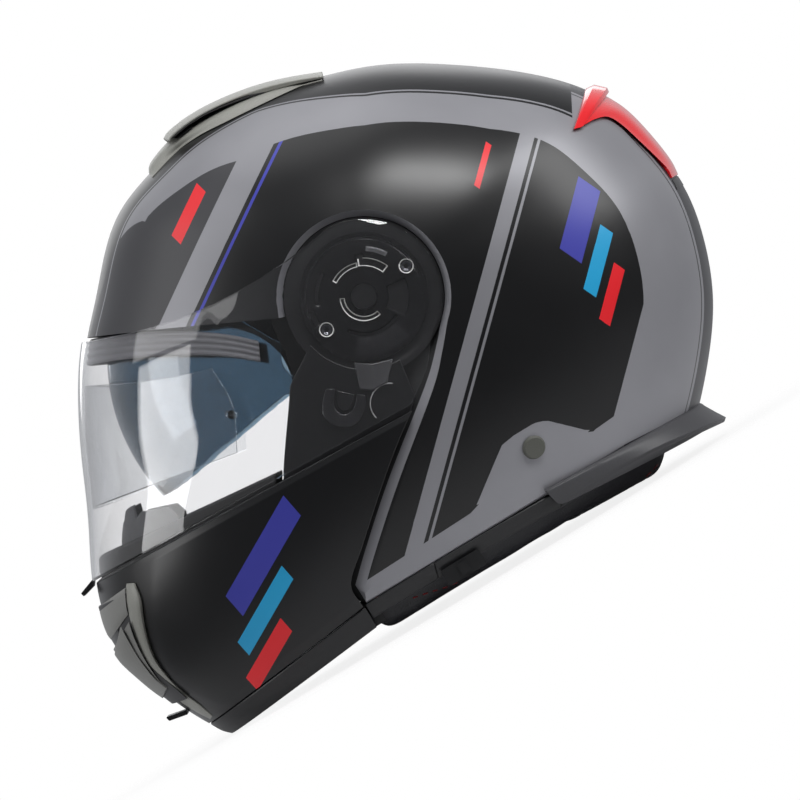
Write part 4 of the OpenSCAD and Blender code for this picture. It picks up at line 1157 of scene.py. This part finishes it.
makeDeflector()
grille = {"rows": [[150, 58, 21.6, -0.3, 0.3], [151.5, 53, 19.8, -0.3, 0.3]]}
layerPiece("exhaustGrille", "shell", "black_plastic", ["exhaust_grille"], grille["rows"], shellWide,
           finish["black plastic"], 20, 6, 0.2)


def clampToFloor(piece, height=0.0):
    for vertex in piece.data.vertices:
        vertex.co.z = max(vertex.co.z, height)


# edge strip of the shell, in lengths that butt together
edgeStrip = {"rows": [[*onBase(-75.9, 22), rearDirection(16.4), -1, 1.7, -0.3, 2.2],
                      [*onBase(-76, 18), rearDirection(12.5), -1, 1.7, -0.7, 2.6],
                      [*onBase(-76.1, 14.2), rearDirection(9), -1, 1.7, 0.2, 3.0]],
             "joints": [0, 8, 24, 40, 81, 97, 113, 121]}


def makeEdgeStrip():
    rows = smoothRows(edgeStrip["rows"], 4)
    outer = surfaceGrid(rows, shellWide, 0, rows[:, 5], 60)
    inner = surfaceGrid(rows, shellWide, 0, rows[:, 6], 60)
    for k, (a, b) in enumerate(zip(edgeStrip["joints"][:-1], edgeStrip["joints"][1:])):
        b = min(b + 1, outer.shape[1])
        piece = closedSheet("edgeStrip%d" % (k + 1), outer[:, a:b], inner[:, a:b], [finish["trim"]], 0.6)
        finishPiece(piece, "shell", ["base_trim"] if k == 3 else [])


stripTongue = {"along": (-83, -71, 9), "height": (21, 10, 7), "depths": (4.2, 5.6)}


def makeStripTongue(side, word):
    # tongue that lies behind the joint between the shell's and the chin bar's strips
    u, h = np.meshgrid(np.linspace(*stripTongue["along"]), np.linspace(*stripTongue["height"]), indexing="ij")
    place = np.array([onBase(a, b) for a, b in zip(u.ravel(), h.ravel())]).reshape(*u.shape, 2)
    x, z = place[..., 0], place[..., 1]
    faces = [np.dstack([x, side * halfWidth(x, z, shellWide - d, -d), z]) for d in stripTongue["depths"]]
    tongue = closedSheet("stripTongue" + word, faces[0], faces[1], [finish["rubber"]], 0.3)
    finishPiece(tongue, "shell")


makeEdgeStrip()
for side, word in sides:
    makeStripTongue(side, word)
clampToFloor(chinEdge)
print("vents and edges")

# linings
linings = {"outer": (99.0, -3.9), "inner": (85.0, -29.9),
           "controls": [[-34, -50, 187, 22, 15, 15, 2], [-20, -52, 166, 8, 6, 21, 3],
                        [-4, -54, 146, 2, 2, 22, 3], [12, -56, 125, 0, 0, 8, 0], [40, -58, 90, 0, 0, 0, 0],
                        [68, -60, 45, 0, 0, 0, 0], [90, -58, 12, 0, 0, 0, 0], [104, -52, -8, 0, 0, 0, 0]]}
foam = wrapSheet("impactLiner", linings["controls"], *linings["outer"], [finish["foam"]], 40, 8,
                 innerWidth=linings["inner"][0], innerGrow=linings["inner"][1], edge=2)
finishPiece(foam, "shell", ["impact_liner"])


def quiltDepth(rowCount, columnCount, rowEvery, columnEvery, deep):
    # sewn channels: the pad dips along lines that cross it every few rows and columns
    i = np.arange(rowCount)[:, None] % rowEvery
    j = np.arange(columnCount)[None, :] % columnEvery
    near = np.minimum(np.minimum(i, rowEvery - i) / 2.0, np.minimum(j, columnEvery - j) / 2.0)
    return deep * np.clip(1 - near, 0, 1) ** 1.5


quilt = {"pad": 9.0, "rowEvery": 16, "columnEvery": 14, "deep": 3.0}


def makeComfortLiner():
    rows = smoothRows([[c[0], c[1] + 4, c[2] * 0.98 + 1, c[3], c[4], 3, 3] for c in linings["controls"]], 14)
    w, g = linings["inner"][0] - 0.4, linings["inner"][1] - 0.4
    outer = surfaceGrid(rows, w, g, rows[:, 5], 56)
    dip = quiltDepth(len(rows), outer.shape[1], quilt["rowEvery"], quilt["columnEvery"], quilt["deep"])
    inner = surfaceGrid(rows, w - quilt["pad"], g - quilt["pad"], rows[:, 6], 56)
    # the sewn face is sunk back towards the foam along the channels
    inner = inner + (outer - inner) * (dip / quilt["pad"])[..., None]
    piece = closedSheet("comfortLiner", outer, inner, [finish["lining"]], 1.5)
    finishPiece(piece, "shell", ["comfort_liner"])


makeComfortLiner()


def inflate(piece, voxel, pressure, cap):
    # remeshes a pad, lets its cover swell like a stuffed skin and stops each point at cap mm
    bpy.context.view_layer.objects.active = piece
    remesh = piece.modifiers.new("voxels", "REMESH")
    remesh.mode = "VOXEL"
    remesh.voxel_size = voxel / 1000
    bpy.ops.object.modifier_apply(modifier=remesh.name)
    mesh = piece.data
    mesh.polygons.foreach_set("use_smooth", np.ones(len(mesh.polygons), bool))
    start = np.empty(len(mesh.vertices) * 3)
    mesh.vertices.foreach_get("co", start)
    start = start.reshape(-1, 3)
    moved = start
    cloth = piece.modifiers.new("cover", "CLOTH")
    cloth.settings.quality = 4
    cloth.settings.mass = 0.3
    cloth.settings.use_pressure = True
    cloth.settings.uniform_pressure_force = pressure
    cloth.settings.effector_weights.gravity = 0
    cloth.settings.tension_stiffness = 12
    cloth.settings.bending_stiffness = 0.4
    for number in range(1, 21):
        bpy.context.scene.frame_set(number)
    evaluated = piece.evaluated_get(bpy.context.evaluated_depsgraph_get())
    moved = np.empty(len(start) * 3)
    evaluated.data.vertices.foreach_get("co", moved)
    moved = moved.reshape(-1, 3)
    piece.modifiers.remove(cloth)
    bpy.context.scene.frame_set(1)
    step = moved - start
    length = np.linalg.norm(step, axis=1, keepdims=True)
    step *= np.minimum(1, cap / 1000 / np.maximum(length, 1e-9))
    mesh.vertices.foreach_set("co", (start + step).ravel())
    mesh.update()
    smooth = piece.modifiers.new("subdivision", "SUBSURF")
    smooth.levels = smooth.render_levels = 1
    bpy.ops.object.modifier_apply(modifier=smooth.name)
    piece.data.polygons.foreach_set("use_smooth", np.ones(len(piece.data.polygons), bool))
    return piece


# neck roll: padded leatherette tube that the helmet stands on
neckRoll = {"width": 109.0, "grow": -10.0, "wall": 17.0, "thin": 2.0, "voxel": 4.0, "pressure": 4.0,
            "cap": 3.0,
            "rows": [[*onBase(-72, 21.5), rearDirection(26), 2, -1],
                     [*onBase(-73, 18), rearDirection(19), 0.5, 0],
                     [*onBase(-75, 12), rearDirection(7), -0.6, 1.0, 0, 0],
                     [*onBase(-74, 7.4), rearDirection(-1), -0.9, 1.5, -2.4, 0],
                     [*onBase(-70, 5.4), rearDirection(-7), -0.9, 1.5, 0, -4]]}


def makeNeckRoll():
    rows = smoothRows(neckRoll["rows"], 6)
    thin = neckRoll["thin"]
    w, g, wall = neckRoll["width"] - thin, neckRoll["grow"] - thin, neckRoll["wall"] - 2 * thin
    outer = surfaceGrid(rows, w, g, rows[:, 5], 60)
    inner = surfaceGrid(rows, w - wall, g - wall, rows[:, 6], 60)
    piece = closedSheet("neckRoll", outer, inner, [finish["leather"]], 0)
    inflate(piece, neckRoll["voxel"], neckRoll["pressure"], neckRoll["cap"])
    clampToFloor(piece)
    finishPiece(piece, "shell", ["neck_roll"])


makeNeckRoll()

# stitches that close the neck roll's cover, each a short bent thread; places along the ground and over it
stitches = {"thread": 0.42, "length": 3.2, "pitch": 5.0, "sink": 0.6, "points": 5, "facets": 6,
            "castFrom": 140,
            "paths": [[(-55, 12.6), (-46, 10.6), (-38, 8.6), (-30, 7.6)], [(72, 3.4), (78, 4.6), (84, 7.0)]]}


def makeStitches():
    skin = bpy.data.objects["neckRoll"]
    tree = BVHTree.FromPolygons([v.co for v in skin.data.vertices], [p.vertices for p in skin.data.polygons])
    vertices, faces = [], []
    count, facets = stitches["points"], stitches["facets"]
    ring = np.radians(np.arange(facets) * 360 / facets)
    for path in stitches["paths"]:
        line = smoothRows(path, 30)
        run = np.concatenate([[0], np.cumsum(np.linalg.norm(np.diff(line, axis=0), axis=1))])
        for start in np.arange(0, run[-1] - stitches["length"], stitches["pitch"]):
            for side in (-1, 1):
                points = []
                for t in np.linspace(start, start + stitches["length"], count):
                    q = onBase(np.interp(t, run, line[:, 0]), np.interp(t, run, line[:, 1]))
                    begin = Vector(toScene(np.array([q[0], side * stitches["castFrom"], q[1]])))
                    hit = tree.ray_cast(begin, Vector((0, -side, 0)))[0]
                    if hit is None:
                        break
                    points.append(np.array(hit))
                if len(points) < count:
                    continue
                points = np.array(points)
                points[[0, -1], 1] -= side * stitches["sink"] / 1000
                first = len(vertices)
                for k, point in enumerate(points):
                    along = points[min(k + 1, count - 1)] - points[max(k - 1, 0)]
                    along /= np.linalg.norm(along)
                    up = np.cross(along, (0, 1, 0))
                    up /= np.linalg.norm(up)
                    out = np.cross(up, along)
                    for a in ring:
                        around = math.cos(a) * up + math.sin(a) * out
                        vertices.append(point + stitches["thread"] / 1000 * around)
                for k in range(count - 1):
                    for i in range(facets):
                        a, b = first + k * facets + i, first + k * facets + (i + 1) % facets
                        faces.append([a, b, b + facets, a + facets])
                last = first + (count - 1) * facets
                faces += [[first + i for i in range(facets)], [last + i for i in range(facets)][::-1]]
    piece = addObject("neckRollStitches", vertices, faces, [finish["thread"]])
    finishPiece(piece, "shell")


makeStitches()

cheekPad = {"outline": [[-30, -62], [34, -64], [28, -95], [15, -120], [-3, -127], [-22, -110], [-32, -86]],
            "far": 84.0, "near": 62.0, "inset": 3.0, "radius": 36.0, "seat": 0.5,
            "shoulder": 9.0, "crown": 4.0, "crownShare": 0.84, "voxel": 4.0, "pressure": 4.0, "cap": 5.0}


def makeCheekPad(side, word):
    # crowned cushion: its back lies flat on its plate and its front swells towards the cheek
    points = np.array(cheekPad["outline"], float)
    centre = points.mean(0)
    ring = smoothRows(np.vstack([points, points[:1]]), 8)[:-1]
    ring = centre + (ring - centre) * (1 - cheekPad["inset"] / cheekPad["radius"])
    layers = [(cheekPad["far"] - cheekPad["seat"], 1.0), (cheekPad["near"] + cheekPad["shoulder"], 1.0),
              (cheekPad["near"] + cheekPad["crown"], cheekPad["crownShare"])]
    vertices, faces = [], []
    n = len(ring)
    for y, share in layers:
        for q in centre + (ring - centre) * share:
            vertices.append([q[0], side * y, q[1]])
    for k in range(len(layers) - 1):
        for i in range(n):
            a, b = k * n + i, k * n + (i + 1) % n
            faces.append([a, b, b + n, a + n])
    faces.append(list(range(n)))
    faces.append(list(range((len(layers) - 1) * n, len(layers) * n))[::-1])
    piece = addObject("cheekPad" + word, toScene(np.array(vertices)), faces, [finish["liningDark"]])
    inflate(piece, cheekPad["voxel"], cheekPad["pressure"], cheekPad["cap"])
    finishPiece(piece, "shell", ["cheek_pad_" + word.lower()])


for side, word in sides:
    makeCheekPad(side, word)
print("linings")

# chin straps: flat webbing from the rivets down under the jaw and towards the buckle
chinStrap = {"x": 1.0, "width": 25.0, "wall": 1.9, "rows": 9,
             "left": [[-102.6, -50], [-102.3, -66], [-95.4, -104], [-91, -124], [-78, -133.4], [-62, -135.6],
                      [-44.5, -136.4]],
             "right": [[102.6, -50], [102.3, -66], [95.4, -104], [91, -124], [78, -133.4], [58, -136.2],
                       [30, -136.6], [12, -136.5]]}


def makeStrap(word, path):
    s = chinStrap
    centre = smoothRows(path, 10)
    normal = pathNormals(centre)
    place = np.linspace(-0.5, 0.5, s["rows"])
    # the selvedges are a little thinner than the middle of the weave
    thick = s["wall"] / 2 * np.array([0.55, 0.9, 1, 0.94, 1, 0.94, 1, 0.9, 0.55])

    def grid(sign):
        point = centre[:, None] + sign * normal[:, None] * thick[None, :, None]
        x = np.broadcast_to(s["x"] + place[None, :] * s["width"], point.shape[:2])
        return np.dstack([x, point[..., 0], point[..., 1]])

    band = closedSheet("chinStrap" + word, grid(1), grid(-1), [finish["webbing"]], 0)
    finishPiece(band, "shell", ["chin_strap_" + word.lower()])


makeStrap("Left", chinStrap["left"])
makeStrap("Right", chinStrap["right"])

# finishes of the CAD pieces that stay
kept = {
    "pivot_base_left": "base plate", "pivot_base_right": "base plate", "pivot_pins": "black plastic",
    "pivot_washers": "washer", "side_plugs": "plug", "shield_tab": "black plastic",
    "release_lever": "black plastic", "strap_rivets": "steel",
    "buckle_body": "steel", "buckle_pin": "steel", "buckle_lever": "redMetal", "ratchet_strap": "redTongue",
    "visor_slider": "black plastic", "lock_forks": "darkSteel", "lock_pawls": "steel",
    "lens_pins": "lens",
}
for name, key in kept.items():
    mesh = nodes[name].data
    mesh.materials.clear()
    mesh.materials.append(finish[key])


# floor, light and camera
studio = {"distance": 4.0, "frameWidth": 0.392, "aim": (17.15, -49.0), "floorRadius": 1.4,
          "lampAim": (0, 0, 0.14)}
# place, width and height in metres, and power in watts
softboxes = {
    "keyBox": ((1.15, -1.5, 1.75), (0.5, 0.95), 30), "frontKeyBox": ((-1.5, -0.2, 2.1), (1.6, 1.6), 12),
    "topBox": ((0.3, 0.3, 1.9), (1.2, 1.2), 5), "frontBox": ((-2.2, -0.35, 0.8), (1.2, 1.4), 17),
    "rearBox": ((2.1, -0.75, 0.75), (1.2, 1.4), 27), "farBox": ((0.0, 2.0, 0.9), (1.6, 0.8), 5),
}


def makeFloor():
    bm = bmesh.new()
    bmesh.ops.create_circle(bm, cap_ends=True, segments=96, radius=studio["floorRadius"])
    mesh = bpy.data.meshes.new("floor")
    bm.to_mesh(mesh)
    bm.free()
    floor = bpy.data.objects.new("floor", mesh)
    bpy.context.scene.collection.objects.link(floor)
    # matt white paper that fades into the backdrop towards its rim
    material, tree, shader, place = startMaterial("mattPaperWhite", "#f2f2f3", 0.9)
    fibre = addNode(tree, "ShaderNodeTexNoise", {"Scale": 400.0, "Detail": 2.0},
                    {"Vector": (place, "Object")})
    varyRoughness(tree, shader, fibre, 0.85, 0.95)
    length = addNode(tree, "ShaderNodeVectorMath", {"operation": "LENGTH"}, {0: (place, "Object")})
    fade = addNode(tree, "ShaderNodeMapRange",
                   {"From Min": 0.06, "From Max": studio["floorRadius"] * 0.23,
                    "interpolation_type": "SMOOTHSTEP"}, {"Value": (length, "Value")})
    gone = addNode(tree, "ShaderNodeBsdfTransparent")
    mixed = addNode(tree, "ShaderNodeMixShader", links={0: (fade, "Result"), 1: (shader, 0), 2: (gone, 0)})
    # part of its brightness is its own, so that the shadow on it stays pale
    path = addNode(tree, "ShaderNodeLightPath")
    paper = addNode(tree, "ShaderNodeEmission", {"Color": (1, 1, 1, 1), "Strength": 1.0})
    part = addNode(tree, "ShaderNodeMath", {"operation": "MULTIPLY", 1: 0.84}, {0: (path, "Is Camera Ray")})
    pale = addNode(tree, "ShaderNodeMixShader", links={0: (part, 0), 1: (shader, 0), 2: (paper, 0)})
    tree.links.new(pale.outputs[0], mixed.inputs[1])
    tree.links.new(mixed.outputs[0], tree.nodes["Material Output"].inputs["Surface"])
    mesh.materials.append(material)


def makeWorld():
    world = bpy.data.worlds.new("studioWorld")
    bpy.context.scene.world = world
    world.use_nodes = True
    tree = world.node_tree
    ambient = tree.nodes["Background"]
    ambient.inputs["Color"].default_value = linear("#eef0f4")
    # brighter overhead than round the horizon, as in a room with a lit ceiling
    place = addNode(tree, "ShaderNodeTexCoord")
    parts = addNode(tree, "ShaderNodeSeparateXYZ", links={0: (place, "Generated")})
    glow = addNode(tree, "ShaderNodeMapRange",
                   {"From Min": 0.0, "From Max": 0.9, "To Min": 0.15, "To Max": 0.34},
                   {"Value": (parts, "Z")})
    # the pale wall behind the table
    wall = addNode(tree, "ShaderNodeMapRange",
                   {"From Min": 0.45, "From Max": 0.9, "To Min": 0.0, "To Max": 0.4},
                   {"Value": (parts, "Y")})
    level = addNode(tree, "ShaderNodeMath", {"operation": "ADD"}, {0: (glow, "Result"), 1: (wall, "Result")})
    tree.links.new(level.outputs[0], ambient.inputs["Strength"])
    backdrop = addNode(tree, "ShaderNodeBackground", {"Color": (1, 1, 1, 1), "Strength": 1.0})
    path = addNode(tree, "ShaderNodeLightPath")
    # light that bounces before it leaves through clear plastic meets the dim room, not the backdrop
    bounces = addNode(tree, "ShaderNodeMath", {"operation": "ADD"},
                      {0: (path, "Diffuse Depth"), 1: (path, "Glossy Depth")})
    straight = addNode(tree, "ShaderNodeMath", {"operation": "SUBTRACT", "use_clamp": True},
                       {0: (path, "Is Transmission Ray"), 1: (bounces, 0)})
    seen = addNode(tree, "ShaderNodeMath", {"operation": "MAXIMUM"},
                   {0: (path, "Is Camera Ray"), 1: (straight, 0)})
    mixed = addNode(tree, "ShaderNodeMixShader", links={0: (seen, 0), 1: (ambient, 0), 2: (backdrop, 0)})
    tree.links.new(mixed.outputs[0], tree.nodes["World Output"].inputs["Surface"])


def addSoftbox(name, place, size, power):
    lamp = bpy.data.lights.new(name, "AREA")
    lamp.shape = "RECTANGLE"
    lamp.size, lamp.size_y = size
    lamp.energy = power
    box = bpy.data.objects.new(name, lamp)
    bpy.context.scene.collection.objects.link(box)
    box.location = place
    box.rotation_euler = (Vector(studio["lampAim"]) - Vector(place)).to_track_quat("-Z", "Y").to_euler()


def makeCamera():
    camera = bpy.data.cameras.new("camera")
    camera.sensor_width = 36
    camera.lens = 36 * studio["distance"] / studio["frameWidth"]
    view = bpy.data.objects.new("camera", camera)
    bpy.context.scene.collection.objects.link(view)
    aim = toScene(np.array([studio["aim"][0], 0, studio["aim"][1]]))
    view.location = (aim[0], -studio["distance"], aim[2])
    # upright on the wearer's head: the camera leans by as much as the helmet does on its base
    view.rotation_euler = (math.radians(90), math.radians(head["tilt"]), 0)
    view.rotation_mode = "XYZ"
    bpy.context.scene.camera = view


makeFloor()
makeWorld()
for name, box in softboxes.items():
    addSoftbox(name, *box)
makeCamera()
scene = bpy.context.scene
scene.view_settings.view_transform = "Standard"
print("studio ready")
